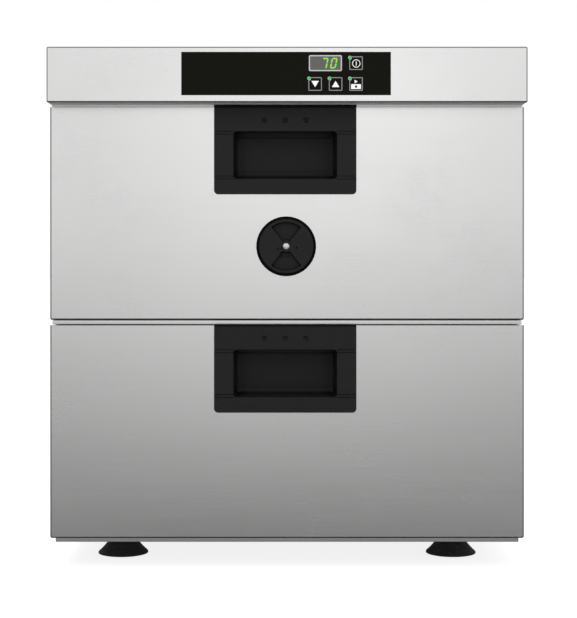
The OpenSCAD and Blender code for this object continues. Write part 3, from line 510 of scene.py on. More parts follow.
def build_effects():
    """The groups that the finishes share; they give masks and values only."""
    # Fine lines that run across the front and along the sides
    tree, given, out = effect_group("grain", "Brushed grain", ("Grain",), along=9.0,
                                    across=620.0)
    here = place(tree, "ShaderNodeTexCoord").outputs
    spot, facing = axes_of(tree, here["Object"]), axes_of(tree, here["Normal"])
    side = math_of(tree, "GREATER_THAN", math_of(tree, "ABSOLUTE", facing[0]), 0.7)
    swap = [place(tree, "ShaderNodeMix", {0: side, 2: spot[i], 3: spot[1 - i]}).outputs[0]
            for i in (0, 1)]
    stretched = place(tree, "ShaderNodeCombineXYZ", {
        i: math_of(tree, "MULTIPLY", value, given[key]) for i, (value, key) in enumerate((
            (swap[0], "Along"), (swap[1], "Across"), (spot[2], "Across")))}).outputs[0]
    both = math_of(tree, "ADD", product(tree, noise_of(tree, 1.0, 3.0, stretched, 0.6), 0.7),
                   product(tree, noise_of(tree, 0.16, 2.0, stretched), 0.3))
    tree.links.new(remap(tree, both, 0.0, 1.0, 0.34, 0.66), out["Grain"])

    # Painted shade along the bends: a mask where the sheet is bent and no longer lies square,
    # which darkens its colour there
    tree, given, out = effect_group("bends", "Painted bend shade", start=0.992, end=0.93)
    sizes = [math_of(tree, "ABSOLUTE", part) for part in axes_of(tree, surface(tree, "Normal"))]
    most = math_of(tree, "MAXIMUM", math_of(tree, "MAXIMUM", sizes[0], sizes[1]), sizes[2])
    tree.links.new(remap(tree, most, 0.0, 1.0, given["Start"], given["End"]), out["Mask"])

    # Rubbed edges, broken up by noise
    tree, given, out = effect_group("wear", "Edge wear", radius=0.0008, amount=0.5)
    true = place(tree, "ShaderNodeNewGeometry").outputs["Normal"]
    rounded = place(tree, "ShaderNodeBevel", {"Radius": given["Radius"]}, samples=4).outputs[0]
    turned = place(tree, "ShaderNodeVectorMath", {0: true, 1: rounded},
                   operation="DOT_PRODUCT").outputs["Value"]
    sharp = remap(tree, turned, 1.0, 0.0, 0.90, 0.999)
    patchy = remap(tree, noise_of(tree, 160.0, 4.0), 0.0, 1.0, 0.40, 0.62)
    tree.links.new(product(tree, sharp, patchy, given["Amount"]), out["Mask"])

    # Painted shade in recesses: ambient occlusion darkens the colour where less light reaches
    tree, given, out = effect_group("painted_shade", "Painted recess shade", reach=0.012, amount=0.9)
    clear = place(tree, "ShaderNodeAmbientOcclusion", {"Distance": given["Reach"]},
                  samples=8, only_local=True).outputs["AO"]
    tree.links.new(product(tree, remap(tree, clear, 1.0, 0.0, 0.5, 0.97), given["Amount"]),
                   out["Mask"])

    # Soft cloudy marks of wiping and of hands
    tree, given, out = effect_group("marks", "Wiping marks", scale=7.0)
    clouds = remap(tree, noise_of(tree, given["Scale"], 3.0), 0.0, 1.0, 0.42, 0.68)
    streaks = remap(tree, noise_of(tree, 42.0, 5.0), 0.3, 1.0, 0.35, 0.65)
    tree.links.new(product(tree, clouds, streaks), out["Mask"])

    # Pebbled surface of a moulding
    tree, given, out = effect_group("pebble", "Moulded pebble", ("Height", "Speckle"),
                                    scale=1500.0)
    cells = place(tree, "ShaderNodeTexVoronoi", {
        "Vector": surface(tree, "Object"), "Scale": given["Scale"]},
        feature="SMOOTH_F1").outputs["Distance"]
    tree.links.new(remap(tree, cells, 1.0, 0.0, 0.0, 0.7), out["Height"])
    tree.links.new(remap(tree, noise_of(tree, 320.0, 4.0), 0.0, 1.0, 0.35, 0.65),
                   out["Speckle"])

    # Fine dust on what faces up
    tree, given, out = effect_group("dust", "Settled dust", amount=0.2)
    up = remap(tree, axes_of(tree, surface(tree, "Normal"))[2], 0.0, 1.0, 0.3, 1.0)
    specks = remap(tree, noise_of(tree, 240.0, 6.0), 0.0, 1.0, 0.45, 0.75)
    tree.links.new(product(tree, up, specks, given["Amount"]), out["Mask"])


def effect(tree, name, **values):
    made = place(tree, "ShaderNodeGroup", node_tree=EFFECTS[name])
    for key, value in values.items():
        made.inputs[key.capitalize()].default_value = value
    return made.outputs


# ---- Finishes -----------------------------------------------------------------------

LOOKS = {}
WORN_GREY = (0.09, 0.09, 0.09, 1.0)
DUST_GREY = (0.3, 0.29, 0.27, 1.0)


def shaded(tree, rgba, *factors):
    """A colour scaled by factors that change over the surface."""
    return place(tree, "ShaderNodeVectorMath", {0: rgba[:3], "Scale": product(tree, *factors)},
                 operation="SCALE").outputs[0]


def bumped(tree, height, distance):
    return place(tree, "ShaderNodeBump", {"Height": height, "Distance": distance}).outputs[0]


def finish(name, **values):
    """A finish named for what it is; keys are the shader's sockets, with _ for a space."""
    look = bpy.data.materials.new(name)
    look.use_nodes = True
    shader = look.node_tree.nodes["Principled BSDF"]
    for key, value in values.items():
        shader.inputs[key.replace("_", " ")].default_value = value
    LOOKS[name] = look
    return look.node_tree, shader.inputs


def brushed(name, rgba, rough, along=9.0, across=620.0, bend=0.0, contrast=0.03,
            deep=0.000004):
    """Brushed sheet, with painted shade along its bends in place of their dark reflections."""
    tree, into = finish(name, Metallic=1.0)
    grain = effect(tree, "grain", along=along, across=across)[0]
    marks = effect(tree, "marks")[0]
    factors = [remap(tree, grain, 1.0 - contrast, 1.0 + contrast), remap(tree, marks, 1.0, 0.975)]
    # painted shade: the colour is darkened along the bends, standing in for their dark reflections
    if bend:
        factors.append(remap(tree, effect(tree, "bends")[0], 1.0, 1.0 - bend))
    tree.links.new(shaded(tree, rgba, *factors), into["Base Color"])
    tree.links.new(math_of(tree, "ADD", remap(tree, grain, rough[0], rough[1]),
                           remap(tree, marks, 0.0, 0.03)), into["Roughness"])
    tree.links.new(bumped(tree, grain, deep), into["Normal"])


def moulded(name, rgba, rough, pebble=1500.0, deep=0.00003, wear=0.25, dust=0.1, painted_shade=0.0,
            **values):
    """Moulded plastic or rubber, worn pale at its edges, with painted shade in its recesses."""
    tree, into = finish(name, **values)
    grain = effect(tree, "pebble", scale=pebble)
    worn = effect(tree, "wear", amount=wear)[0]
    dusty = effect(tree, "dust", amount=dust)[0]
    factors = [remap(tree, grain["Speckle"], 0.88, 1.12)]
    # painted shade: ambient occlusion darkens the colour in recesses
    if painted_shade:
        factors.append(remap(tree, effect(tree, "painted_shade", amount=painted_shade)[0], 1.0, 0.0))
    base = shaded(tree, rgba, *factors)
    for mask, over in ((worn, WORN_GREY), (dusty, DUST_GREY)):
        base = place(tree, "ShaderNodeMix", {0: mask, 6: base, 7: over},
                     data_type="RGBA").outputs[2]
    tree.links.new(base, into["Base Color"])
    tree.links.new(math_of(tree, "SUBTRACT", remap(tree, grain["Speckle"], *rough),
                           math_of(tree, "MULTIPLY", worn, 0.25)), into["Roughness"])
    tree.links.new(bumped(tree, grain["Height"], deep), into["Normal"])


def plated(name, rgba, rough, spots=90.0, contrast=0.08, metal=1.0):
    """Plated, fired or primed metal with a faint cloudy pattern."""
    tree, into = finish(name, Metallic=metal)
    clouds = remap(tree, noise_of(tree, spots, 4.0), 0.0, 1.0, 0.32, 0.68)
    fine = noise_of(tree, spots * 12, 2.0)
    tree.links.new(shaded(tree, rgba, remap(tree, clouds, 1.0 - contrast, 1.0 + contrast)),
                   into["Base Color"])
    tree.links.new(remap(tree, clouds, *rough), into["Roughness"])
    tree.links.new(bumped(tree, fine, 0.000006), into["Normal"])


def printed(name, rgba, rough=0.5, **values):
    """Ink, a window or a lit part, with its fine unevenness."""
    tree, into = finish(name, Roughness=rough, **values)
    uneven = remap(tree, noise_of(tree, 900.0, 3.0), 0.93, 1.04, 0.3, 0.7)
    lit = values.get("Emission_Strength", 0.0) > 0.0
    tree.links.new(shaded(tree, rgba, uneven), into["Emission Color" if lit else "Base Color"])


class WARMING_OT_finishes(bpy.types.Operator):
    """Makes the finishes of the cabinet"""
    bl_idname = "warming.finishes"
    bl_label = "Finishes"
    bl_options = {"REGISTER", "UNDO"}

    def execute(self, context):
        build_effects()
        brushed("front_steel", tint("steel"), (0.235, 0.265), bend=0.9, contrast=0.005,
                deep=0.000001)
        brushed("case_steel", tint("steel"), (0.30, 0.38), bend=0.75, contrast=0.02)
        brushed("inner_steel", tint("inner"), (0.30, 0.42), along=60.0, across=160.0,
                bend=0.15, contrast=0.05)
        brushed("pan_steel", tint("pan"), (0.16, 0.26), along=30.0, across=90.0, contrast=0.03)
        plated("primed_steel", (0.21, 0.21, 0.21, 1.0), (0.55, 0.65), metal=0.0, contrast=0.04)
        plated("zinc_plate", tint("zinc"), (0.24, 0.36))
        plated("ball_steel", (0.72, 0.72, 0.74, 1.0), (0.06, 0.10), contrast=0.03)
        plated("pivot_steel", (0.86, 0.86, 0.85, 1.0), (0.46, 0.54), contrast=0.04)
        plated("element_sheath", (0.16, 0.145, 0.13, 1.0), (0.42, 0.60), spots=60.0,
               contrast=0.35)
        plated("copper_winding", (0.72, 0.28, 0.10, 1.0), (0.25, 0.4), spots=400.0)
        plated("core_steel", (0.20, 0.20, 0.21, 1.0), (0.4, 0.6))
        # painted shade darkens the handle's pocket and the vent's windows and holes
        moulded("handle_plastic", tint("plastic"), (0.42, 0.55), wear=0.04, dust=0.0, painted_shade=0.92,
                Specular_IOR_Level=0.16)
        # Painted shadow: a near-black finish for the rings in the gap round the vent's dial, where
        # there is only shade
        moulded("painted_shadow_black", (0.0012, 0.0012, 0.0012, 1.0), (0.7, 0.85), wear=0.02,
                dust=0.0, Specular_IOR_Level=0.05)
        moulded("dark_plastic", (0.02, 0.02, 0.022, 1.0), (0.35, 0.5), dust=0.2,
                Specular_IOR_Level=0.35)
        moulded("pale_plastic", (0.74, 0.72, 0.66, 1.0), (0.35, 0.5), wear=0.05)
        moulded("foot_rubber", tint("rubber"), (0.6, 0.8), pebble=900.0, deep=0.00005,
                wear=0.2, Specular_IOR_Level=0.3)
        moulded("seal_rubber", tint("seal"), (0.5, 0.65), pebble=1100.0, wear=0.05)
        moulded("panel_face", tint("panel"), (0.28, 0.36), pebble=2600.0, deep=0.000004,
                wear=0.03, dust=0.0, Specular_IOR_Level=0.05)
        moulded("circuit_board", (0.02, 0.16, 0.06, 1.0), (0.25, 0.45), pebble=260.0,
                deep=0.00006, wear=0.1)
        for name, rgba in (("red_lead", (0.45, 0.03, 0.02, 1.0)),
                           ("white_lead", (0.75, 0.73, 0.68, 1.0)),
                           ("blue_lead", (0.04, 0.13, 0.42, 1.0)),
                           ("grey_lead", (0.4, 0.4, 0.4, 1.0))):
            moulded(name, rgba, (0.3, 0.45), wear=0.0)
        printed("white_print", tint("prints"))
        printed("grey_print", tint("outlines"))
        printed("outline_pale", (0.40, 0.40, 0.395, 1.0))
        printed("display_window", tint("window"), 0.15, Specular_IOR_Level=0.06)
        printed("lit_digits", tint("digits"), Base_Color=(0, 0, 0, 1), Emission_Strength=1.0)
        printed("lit_lamp", tint("lamp"), Base_Color=(0.0, 0.02, 0.01, 1), Emission_Strength=1.0)
        printed("lamp_glow", tint("lamp_rim"), Base_Color=(0.02, 0.05, 0.02, 1),
                Emission_Strength=0.9)

        tree, into = finish("insulation_wool", Roughness=0.95, Sheen_Weight=0.3)
        fibres = noise_of(tree, 420.0, 8.0, roughness=0.75)
        tufts = noise_of(tree, 60.0, 3.0)
        tree.links.new(shaded(tree, tint("wool"), remap(tree, fibres, 0.72, 1.2, 0.3, 0.7),
                              remap(tree, tufts, 0.9, 1.1)), into["Base Color"])
        tree.links.new(bumped(tree, fibres, 0.0008), into["Normal"])
        return {"FINISHED"}


# ---- Casing and cap -----------------------------------------------------------------

FLANGE = 14.0  # width of the casing's folded flanges
PANEL_FLANGE = 4.0  # rim of the control panel behind the cap's sheet
LOUVRES = (2, 6)  # columns and rows in the cap's rear
LOUVRE_PITCH = (36.4, 6.0)
LOUVRE_SIZE = (26.0, 3.0)
LOUVRE_PLACE = (-90.0, 499.5)  # X between the columns, Z of the middle of the lowest
LOUVRE_HOOD = (4.2, 0.5)  # height and thickness
STRIP_HALF_WIDTH = 244.0  # of the strips that close the gaps above the drawer fronts
STRIP_FACE = -308.5
STRIP_CLEAR = (0.5, 1.0)  # under the upper front and above the lower one


class WARMING_OT_casing(bpy.types.Operator):
    """Makes the side panels, the rear panel, the base pan and the front frame"""
    bl_idname = "warming.casing"
    bl_label = "Casing"
    bl_options = {"REGISTER", "UNDO"}

    def execute(self, context):
        for side in ("left", "right"):
            dressed(side + "_side_panel", "case_steel", 0.45, steps=3)
        dressed("back_panel", "case_steel", 0.3)
        dressed("base_pan", "case_steel", 0.3)
        dressed("front_frame", "front_steel", 0.45, steps=3)
        # A folded strip on the frame's rail fills the gap between the two fronts
        above, below = FRONT["upper"][0].z - STRIP_CLEAR[0], FRONT["lower"][1].z + STRIP_CLEAR[1]
        piece("rail_strip", box((-STRIP_HALF_WIDTH, STRIP_FACE, below),
                                (STRIP_HALF_WIDTH, limits("front_frame")[0].y + 0.5, above),
                                0.3, 2, keep=("+y",)), "front_steel", "front_frame")
        return {"FINISHED"}


def panel_area():
    """Low and high corner of the panel's face as X and Z."""
    low, high = PANEL
    return ((low.x + PANEL_FLANGE, low.z + PANEL_FLANGE),
            (high.x - PANEL_FLANGE, high.z - PANEL_FLANGE))


def build_cover():
    """The folded cover of the cap, its hem and its primed underside."""
    low, high = CAP
    sheet, bend = mm("sheet"), mm("cap_bend")
    inset = Vector((sheet, sheet, sheet))
    shell = box(low, high, bend, keep=("+y",))
    hollow = box(low + inset, high - inset, bend - sheet, keep=("+y",))
    deck = FRONT["upper"][1].y  # rear of the drawer fronts
    under = box((low.x + FLANGE, deck + 5 + FLANGE, low.z - 1),
                (high.x - FLANGE, high.y - sheet, low.z + 2 * sheet))
    rear = box((low.x + FLANGE, high.y - 2 * sheet, low.z + sheet),
               (high.x - FLANGE, high.y + 1, high.z - FLANGE))
    (x0, z0), (x1, z1) = panel_area()
    window = box((x0 - 0.2, low.y - 1, z0 - 0.2), (x1 + 0.2, low.y + 2 * sheet, z1 + 0.2))
    piece("cap_cover", carve(shell, hollow, under, rear, window), "front_steel", "top_cover",
          True, 0.15)
    # A hem folded down at the upper front's edge, on both sides of the handle, so that no gap
    # shows under the cap, and the primed underside in front of it
    face, hem_low = FRONT["upper"][0].y, FRONT["upper"][1].z + 0.2
    hem = [(face, low.z + 0.1), (face, low.z), (face + 0.35, hem_low), (face + 1.6, hem_low),
           (face + 1.6, low.z + 0.1)]
    ends = [(-STRIP_HALF_WIDTH, HANDLE["upper"][0].x - 0.3),
            (HANDLE["upper"][1].x + 0.3, STRIP_HALF_WIDTH)]
    piece("cap_hem", joined(*[loft([[(x, y, z) for y, z in hem] for x in pair])
                              for pair in ends]), "front_steel", "top_cover")
    piece("cap_underside", box((low.x + bend, low.y + bend + 0.1, low.z - 0.05),
                               (high.x - bend, deck, low.z + 0.5)), "primed_steel", "top_cover")


def louvre_tree():
    """Hoods pressed out of the sheet, in columns and rows that start at the object's point."""
    tree, given, ended = grower("Louvre hoods", Width=0.026, Height=0.0042, Depth=0.002,
                                Thickness=0.0005, Columns=2, Rows=6, Column_pitch=0.0364,
                                Row_pitch=0.006)
    across, up = 12, 6
    grid = place(tree, "GeometryNodeMeshGrid", {
        "Size X": given["Width"], "Size Y": given["Height"], "Vertices X": across + 1,
        "Vertices Y": up + 1})
    spot = axes_of(tree, place(tree, "GeometryNodeInputPosition").outputs[0])
    # 1 at the open lower edge, 0 at the upper edge and at both ends
    side = math_of(tree, "DIVIDE", spot[0], math_of(tree, "DIVIDE", given["Width"], 2.0))
    ends = math_of(tree, "SUBTRACT", 1.0,
                   math_of(tree, "POWER", math_of(tree, "ABSOLUTE", side), 6.0))
    rise = math_of(tree, "SUBTRACT", 0.5, math_of(tree, "DIVIDE", spot[1], given["Height"]))
    slope = math_of(tree, "POWER", math_of(tree, "MAXIMUM", rise, 0.0), 0.7)
    out_by = product(tree, ends, slope, given["Depth"])
    bowed = place(tree, "GeometryNodeSetPosition", {
        "Geometry": grid.outputs["Mesh"],
        "Position": place(tree, "ShaderNodeCombineXYZ", {
            0: math_of(tree, "MULTIPLY", spot[0], -1.0), 1: out_by, 2: spot[1]}).outputs[0]})
    thick = place(tree, "GeometryNodeExtrudeMesh", {
        "Mesh": bowed.outputs[0], "Offset Scale": given["Thickness"], "Individual": False})
    closed = place(tree, "GeometryNodeJoinGeometry", {0: thick.outputs["Mesh"]})
    tree.links.new(place(tree, "GeometryNodeFlipFaces", {"Mesh": bowed.outputs[0]}).outputs[0],
                   closed.inputs[0])
    hood = place(tree, "GeometryNodeMergeByDistance",
                 {"Geometry": closed.outputs[0], "Distance": 0.00001})
    spots = place(tree, "GeometryNodeMeshGrid", {
        "Size X": math_of(tree, "MULTIPLY", given["Column pitch"],
                          math_of(tree, "SUBTRACT", given["Columns"], 1.0)),
        "Size Y": math_of(tree, "MULTIPLY", given["Row pitch"],
                          math_of(tree, "SUBTRACT", given["Rows"], 1.0)),
        "Vertices X": given["Columns"], "Vertices Y": given["Rows"]})
    stood = place(tree, "GeometryNodeTransform", {
        "Geometry": spots.outputs["Mesh"], "Rotation": (math.pi / 2, 0.0, 0.0)})
    rows = place(tree, "GeometryNodeInstanceOnPoints", {
        "Points": stood.outputs[0], "Instance": hood.outputs[0]})
    return ended(rows.outputs[0])


def sown(name, tree, points, look, facings=None, **values):
    """Runs a geometry tree over points in millimetres, and keeps the result as a mesh."""
    mesh = bmesh.new()
    facing = mesh.verts.layers.float_vector.new("facing")
    for i, point in enumerate(points):
        vert = mesh.verts.new(Vector(point) * MM)
        vert[facing] = facings[i] if facings else (0, 0, 1)
    made = as_object(mesh, name)
    made.data.materials.append(LOOKS[look])
    step = made.modifiers.new("grow", "NODES")
    step.node_group = tree
    values["Material"] = LOOKS[look]
    for socket in tree.interface.items_tree:
        if socket.in_out == "INPUT" and socket.name in values:
            step[socket.identifier] = values[socket.name]
    return flattened(made)


def grown(name, tree, points, look, on, replaces=False, facings=None, angle=35, **values):
    """A piece that a geometry tree makes over points in millimetres."""
    made = sown(name, tree, points, look, facings, **values)
    made.data.shade_smooth()
    made.data.set_sharp_from_angle(angle=math.radians(angle))
    settle(made, on, replaces)


class WARMING_OT_cap(bpy.types.Operator):
    """Makes the control cap: its cover, floor and louvred rear"""
    bl_idname = "warming.cap"
    bl_label = "Cap"
    bl_options = {"REGISTER", "UNDO"}

    def execute(self, context):
        build_cover()
        dressed("cap_floor", "inner_steel", 0.3)
        dressed("cap_back", "case_steel", 0.2)
        columns, rows = LOUVRES
        centre = (LOUVRE_PLACE[0], limits("cap_back")[1].y - 0.1,
                  LOUVRE_PLACE[1] + (rows - 1) * LOUVRE_PITCH[1] / 2 + 0.8)
        grown("louvre_hoods", louvre_tree(), [centre], "case_steel", "cap_back", angle=50,
              **{"Width": LOUVRE_SIZE[0] * MM, "Height": LOUVRE_HOOD[0] * MM,
                 "Depth": mm("hood_depth") * MM, "Thickness": LOUVRE_HOOD[1] * MM,
                 "Columns": columns, "Rows": rows, "Column pitch": LOUVRE_PITCH[0] * MM,
                 "Row pitch": LOUVRE_PITCH[1] * MM})
        return {"FINISHED"}


# ---- Control panel ------------------------------------------------------------------

PANEL_SET = 0.2  # the panel's face behind the cap's face
KEY_LIP = 0.8
LAMP_PLACE = (-6.2, 5.8)  # from a key's middle, in X and Z
LAMP_RADIUS = 1.8
LAMP_CORE = 1.15
PRINT_BACK = 0.05  # how far a printed mark reaches into the face
KEY_SQUARE = (13.7, 13.8)
DISPLAY_FRAMES = ((33.7, 16.3, 1.6), (31.4, 14.0, 0.7))  # width, height, corner radius
POWER_SHIFT = (0.25, -0.35)
POWER_RING = (4.15, 3.5)  # its outer and inner radius
POWER_BAR = (0.8, 4.4)
ARROW = (3.8, 3.15)  # half its width and half its height
PLAY = ((-1.5, 0.7), (-1.5, 4.3), (1.7, 2.5))
BLOCK_DOWN = 2.65  # the start key's block, under the middle
BLOCK_FRAMES = ((10.0, 4.9, 0.3), (2.3, 2.3, 0.1))
SEGMENTS = {"7": "abk", "0": "abcdef"}
SLANT = math.radians(12)
FIGURES = ((11.2, 6.8, "7"), (21.0, 6.2, "0"))  # left edge, width, figure


def key_centre(key):
    return front_middle(limits(key + "_key"))


def lamp_spot(key):
    x, z = key_centre(key)
    return x + LAMP_PLACE[0], z + LAMP_PLACE[1]


def key_pad(key):
    """Low and high corner of a key's pad as X and Z."""
    low, high = limits(key + "_key")
    return (low.x + KEY_LIP, low.z + KEY_LIP), (high.x - KEY_LIP, high.z - KEY_LIP)


def rod_y(x, z, start, end, radius, steps=32):
    return lathe([(0, start), (radius, start), (radius, end), (0, end)], (x, z), steps)


def build_panel():
    """The plate of the control panel, with holes for all that shows."""
    low, high = PANEL
    face = CAP[0].y + PANEL_SET
    (x0, z0), (x1, z1) = panel_area()
    lens_low, lens_high = limits("display_lens")
    plate = prism(rounded_rectangle(x1 - x0, z1 - z0, 0.8, 4, ((x0 + x1) / 2, (z0 + z1) / 2)),
                  face, high.y)
    flange = box((low.x, CAP[0].y + mm("sheet"), low.z), high)
    holes = [box((lens_low.x - 0.05, face - 1, lens_low.z - 0.05),
                 (lens_high.x + 0.05, lens_high.y, lens_high.z + 0.05)),
             box((lens_low.x + 1, face - 1, lens_low.z + 1),
                 (lens_high.x - 1, high.y + 1, lens_high.z - 1))]
    for key in KEYS:
        (a, b), (c, d) = key_pad(key)
        holes += [box((a - 0.2, face - 1, b - 0.2), (c + 0.2, high.y + 1, d + 0.2)),
                  rod_y(*lamp_spot(key), face - 1, high.y + 1, LAMP_RADIUS + 0.05)]
    body = carve(carve(plate, flange, operation="UNION"), *holes)
    piece("control_panel_face", body, "panel_face", "control_panel", True, 0.08)


def build_display():
    """The display: its window, its printed frame and its lit figures."""
    low, high = limits("display_lens")
    face = CAP[0].y + PANEL_SET
    top = face - mm("print_proud")
    centre = front_middle((low, high))
    piece("display_window", box((low.x, face, low.z), high, 0.3, keep=("+y",)),
          "display_window", "display_lens", True)
    bezel = frame_ring(*[rounded_rectangle(*size, 6, centre) for size in DISPLAY_FRAMES],
                       top, face + 2 * PRINT_BACK)
    piece("display_frame", bezel, "outline_pale", "display_lens")
    height, stroke = mm("digit_height"), mm("digit_stroke")
    base = centre[1] - height / 2
    bars = []
    for left, width, figure in FIGURES:
        bars += [segment(bar, low.x + left, base, width, height, stroke, top,
                         face + PRINT_BACK)
                 for bar in SEGMENTS[figure]]
    piece("display_digits", joined(*bars), "lit_digits", "display_lens")


def segment(name, left, base, width, height, stroke, front, back):
    """One bar of a seven-bar figure, with pointed ends, leaning to the right."""
    half, gap = stroke / 2, 0.03
    ends = {"a": ((0, 2), (1, 2)), "b": ((1, 2), (1, 1)), "c": ((1, 1), (1, 0)),
            "d": ((0, 0), (1, 0)), "e": ((0, 1), (0, 0)), "f": ((0, 2), (0, 1)),
            "g": ((0, 1), (1, 1)), "k": ((1, 1), (1, -0.13))}[name]
    nodes = [Vector((half + x * (width - stroke), half + z * (height - stroke) / 2))
             for x, z in ends]
    lead = (nodes[1] - nodes[0]).normalized()
    side = Vector((-lead.y, lead.x)) * half
    first, last = nodes[0] + lead * gap, nodes[1] - lead * gap
    outline = [first, first + lead * half + side, last - lead * half + side, last,
               last - lead * half - side, first + lead * half - side]
    return prism([(left + p.x + p.y * math.tan(SLANT), base + p.y) for p in outline],
                 front, back)


def build_marks():
    """Printed marks: those on keys move with the keys."""
    face = CAP[0].y + PANEL_SET
    top, back = face - mm("print_proud"), face + PRINT_BACK
    line = 2 * mm("key_line")
    sizes = ((*KEY_SQUARE, 1.0), (KEY_SQUARE[0] - line, KEY_SQUARE[1] - line, 0.4))
    squares = [frame_ring(*[rounded_rectangle(*size, 4, key_centre(key)) for size in sizes],
                          top, back) for key in KEYS]
    piece("key_outlines", joined(*squares), "grey_print", "control_panel")
    x, z = key_centre("power")[0] + POWER_SHIFT[0], key_centre("power")[1] + POWER_SHIFT[1]
    ring = frame_ring(*[arc((x, z), radius, 0, 354.375, 63) for radius in POWER_RING], top, back)
    bar = prism(rounded_rectangle(*POWER_BAR, 0.35, 3, (x, z)), top, back)
    piece("power_mark", joined(ring, bar), "white_print", "power_key")
    wide, high = ARROW
    for key, up in (("down", -1), ("up", 1)):
        x, z = key_centre(key)
        arrow = [(x - wide, z - high * up), (x + wide, z - high * up), (x, z + high * up)]
        piece(key + "_mark", prism(arrow, top, back), "white_print", key + "_key")
    x, z = key_centre("start")
    play = prism([(x + u, z + w) for u, w in PLAY], top, back)
    block = frame_ring(*[rounded_rectangle(*size, 3, (x, z - BLOCK_DOWN))
                         for size in BLOCK_FRAMES], top, back)
    piece("start_mark", joined(play, block), "white_print", "start_key")


def build_keys():
    """The keys, each notched round its lamp, and the four lamps."""
    face = CAP[0].y + PANEL_SET
    for key in KEYS:
        (a, b), (c, d) = key_pad(key)
        low, high = limits(key + "_key")
        back = PANEL[1].y + 0.1
        pad = box((a, face, b), (c, back + 0.1, d), 0.25, 3, keep=("+y",))
        lip = box((low.x, back, low.z), (high.x, back + KEY_LIP, high.z), 0.15, 2)
        stem = rod_y(*key_centre(key), back, high.y, 1.7, 24)
        notch = rod_y(*lamp_spot(key), face - 1, high.y, LAMP_RADIUS + 0.5)
        piece(key + "_key_pad", carve(carve(pad, lip, stem, operation="UNION"), notch),
              "panel_face", key + "_key", True)
    back = limits("status_leds")[1].y
    front = CAP[0].y + 0.02
    core = [(0, front), (LAMP_CORE, front + 0.1), (LAMP_CORE, back), (0, back)]
    glow = raised(front, (LAMP_CORE, 0.1), (1.4, 0.2), (1.7, 0.4), (LAMP_RADIUS, 0.8))
    glow += raised(back, (LAMP_RADIUS, -1), (LAMP_CORE, -1))
    piece("status_lamps", joined(*[lathe(core, lamp_spot(key), 24) for key in KEYS]),
          "lit_lamp", "status_leds", True)
    piece("status_lamp_rims", joined(*[lathe(glow, lamp_spot(key), 24, closed=True)
                                       for key in KEYS]), "lamp_glow", "status_leds")


class WARMING_OT_controls(bpy.types.Operator):
    """Makes the control panel with its display, keys, lamps and printed marks"""
    bl_idname = "warming.controls"
    bl_label = "Controls"
    bl_options = {"REGISTER", "UNDO"}

    def execute(self, context):
        build_panel()
        build_display()
        build_marks()
        build_keys()
        return {"FINISHED"}


# ---- Drawer fronts ------------------------------------------------------------------

HANDLE_HALF = 70.1  # half the width of the handle's body behind its plate
HANDLE_UP = 87.8  # from the handle's top to the bottom of that body
HANDLE_BACK = -306.5  # rear of that body
POCKET = (107.0, 48.7)
POCKET_UP = (75.3, 26.6)  # bottom and top of the pocket under the handle's top
POCKET_FLOOR = -287.5
VENT_DUCT = 24.0  # radius of the vent's duct
TOP_GROOVE = (0.35, 2.3, 1.6)  # its edges under the handle's top, and its depth
DIMPLES = (21.5, 14.6, 2.9, 1.5)  # pitch, distance under the top, radius and depth
HANDLE_SCREWS = (59.0, 50.5)  # from the handle's middle, and under its top
POCKET_SHELL = (64.0, 3.0, 17.0)  # half its width, and its reach under and over the pocket
HOOK = (50.5, 5.0, 14.0)  # half its width, and its reach under and over the pocket's top
MOULD_MARK = (1.0, 11.3, 0.9, 0.8)  # to the right, under the pocket's top, radius, depth
BAND_REACH = 90.0  # from the handle's middle


class WARMING_OT_fronts(bpy.types.Operator):
    """Makes the drawers' front skins, linings, insulation and door seals"""
    bl_idname = "warming.fronts"
    bl_label = "Drawer fronts"
    bl_options = {"REGISTER", "UNDO"}

    def execute(self, context):
        sheet, bend = mm("sheet"), mm("front_bend")
        inset = Vector((sheet, sheet, sheet))
        for drawer in DRAWERS:
            low, high = FRONT[drawer]
            top = HANDLE[drawer][1].z
            x = middle(HANDLE[drawer], 0)
            shell = box(low, high, bend, keep=("+y", "+z"))
            hollow = box(low + inset, high - Vector((sheet, -1, sheet)), bend - sheet * 0.6,
                         keep=("+y", "+z"))
            cuts = [hollow, box((x - HANDLE_HALF - 0.2, low.y - 1, top - HANDLE_UP - 0.2),
                                (x + HANDLE_HALF + 0.2, HANDLE_BACK + 0.2, high.z + 1))]
            if drawer == "upper":
                cuts.append(rod_y(*vent_centre(), low.y - 1, low.y + 2 * sheet,
                                  VENT_DUCT + 0.2, 64))
            piece(drawer + "_skin", carve(shell, *cuts), "front_steel",
                  drawer + "_front_skin", True, 0.12)
            dressed(drawer + "_front_lining", "inner_steel", 0.25)
            dressed(drawer + "_front_insulation", "insulation_wool", 1.2)
            build_seal(drawer)
        return {"FINISHED"}


def build_seal(drawer):
    """A hollow door seal: a bulb on a flat foot, mitred at the corners."""
    low, high = limits(drawer + "_gasket")
    width, height = high.x - low.x, high.z - low.z
    centre = front_middle((low, high))
    depth = high.y - low.y
    # (inwards from the outer edge, forwards of the rear)
    section = [(0.2, depth), (0.2, depth - 1.0), (3.4, depth - 1.2)]
    section += [(5.9 - 3.1 * math.cos(math.radians(a)),
                 1.85 - 1.85 * math.sin(math.radians(a)))
                for a in (0, 22, 45, 67, 90, 113, 135, 158, 180)]
    section += [(9.6, depth - 1.2), (9.8, depth)]
    rings = []
    for inwards, forwards in section:
        outline = rounded_rectangle(width - 2 * inwards, height - 2 * inwards,
                                    max(8.0 - inwards * 0.5, 1.0), 5, centre)
        rings.append(upright(outline, high.y - forwards))
    piece(drawer + "_seal", loft(rings, closed=True), "seal_rubber", drawer + "_gasket", True,
          angle=60)


# ---- Handles ------------------------------------------------------------------------

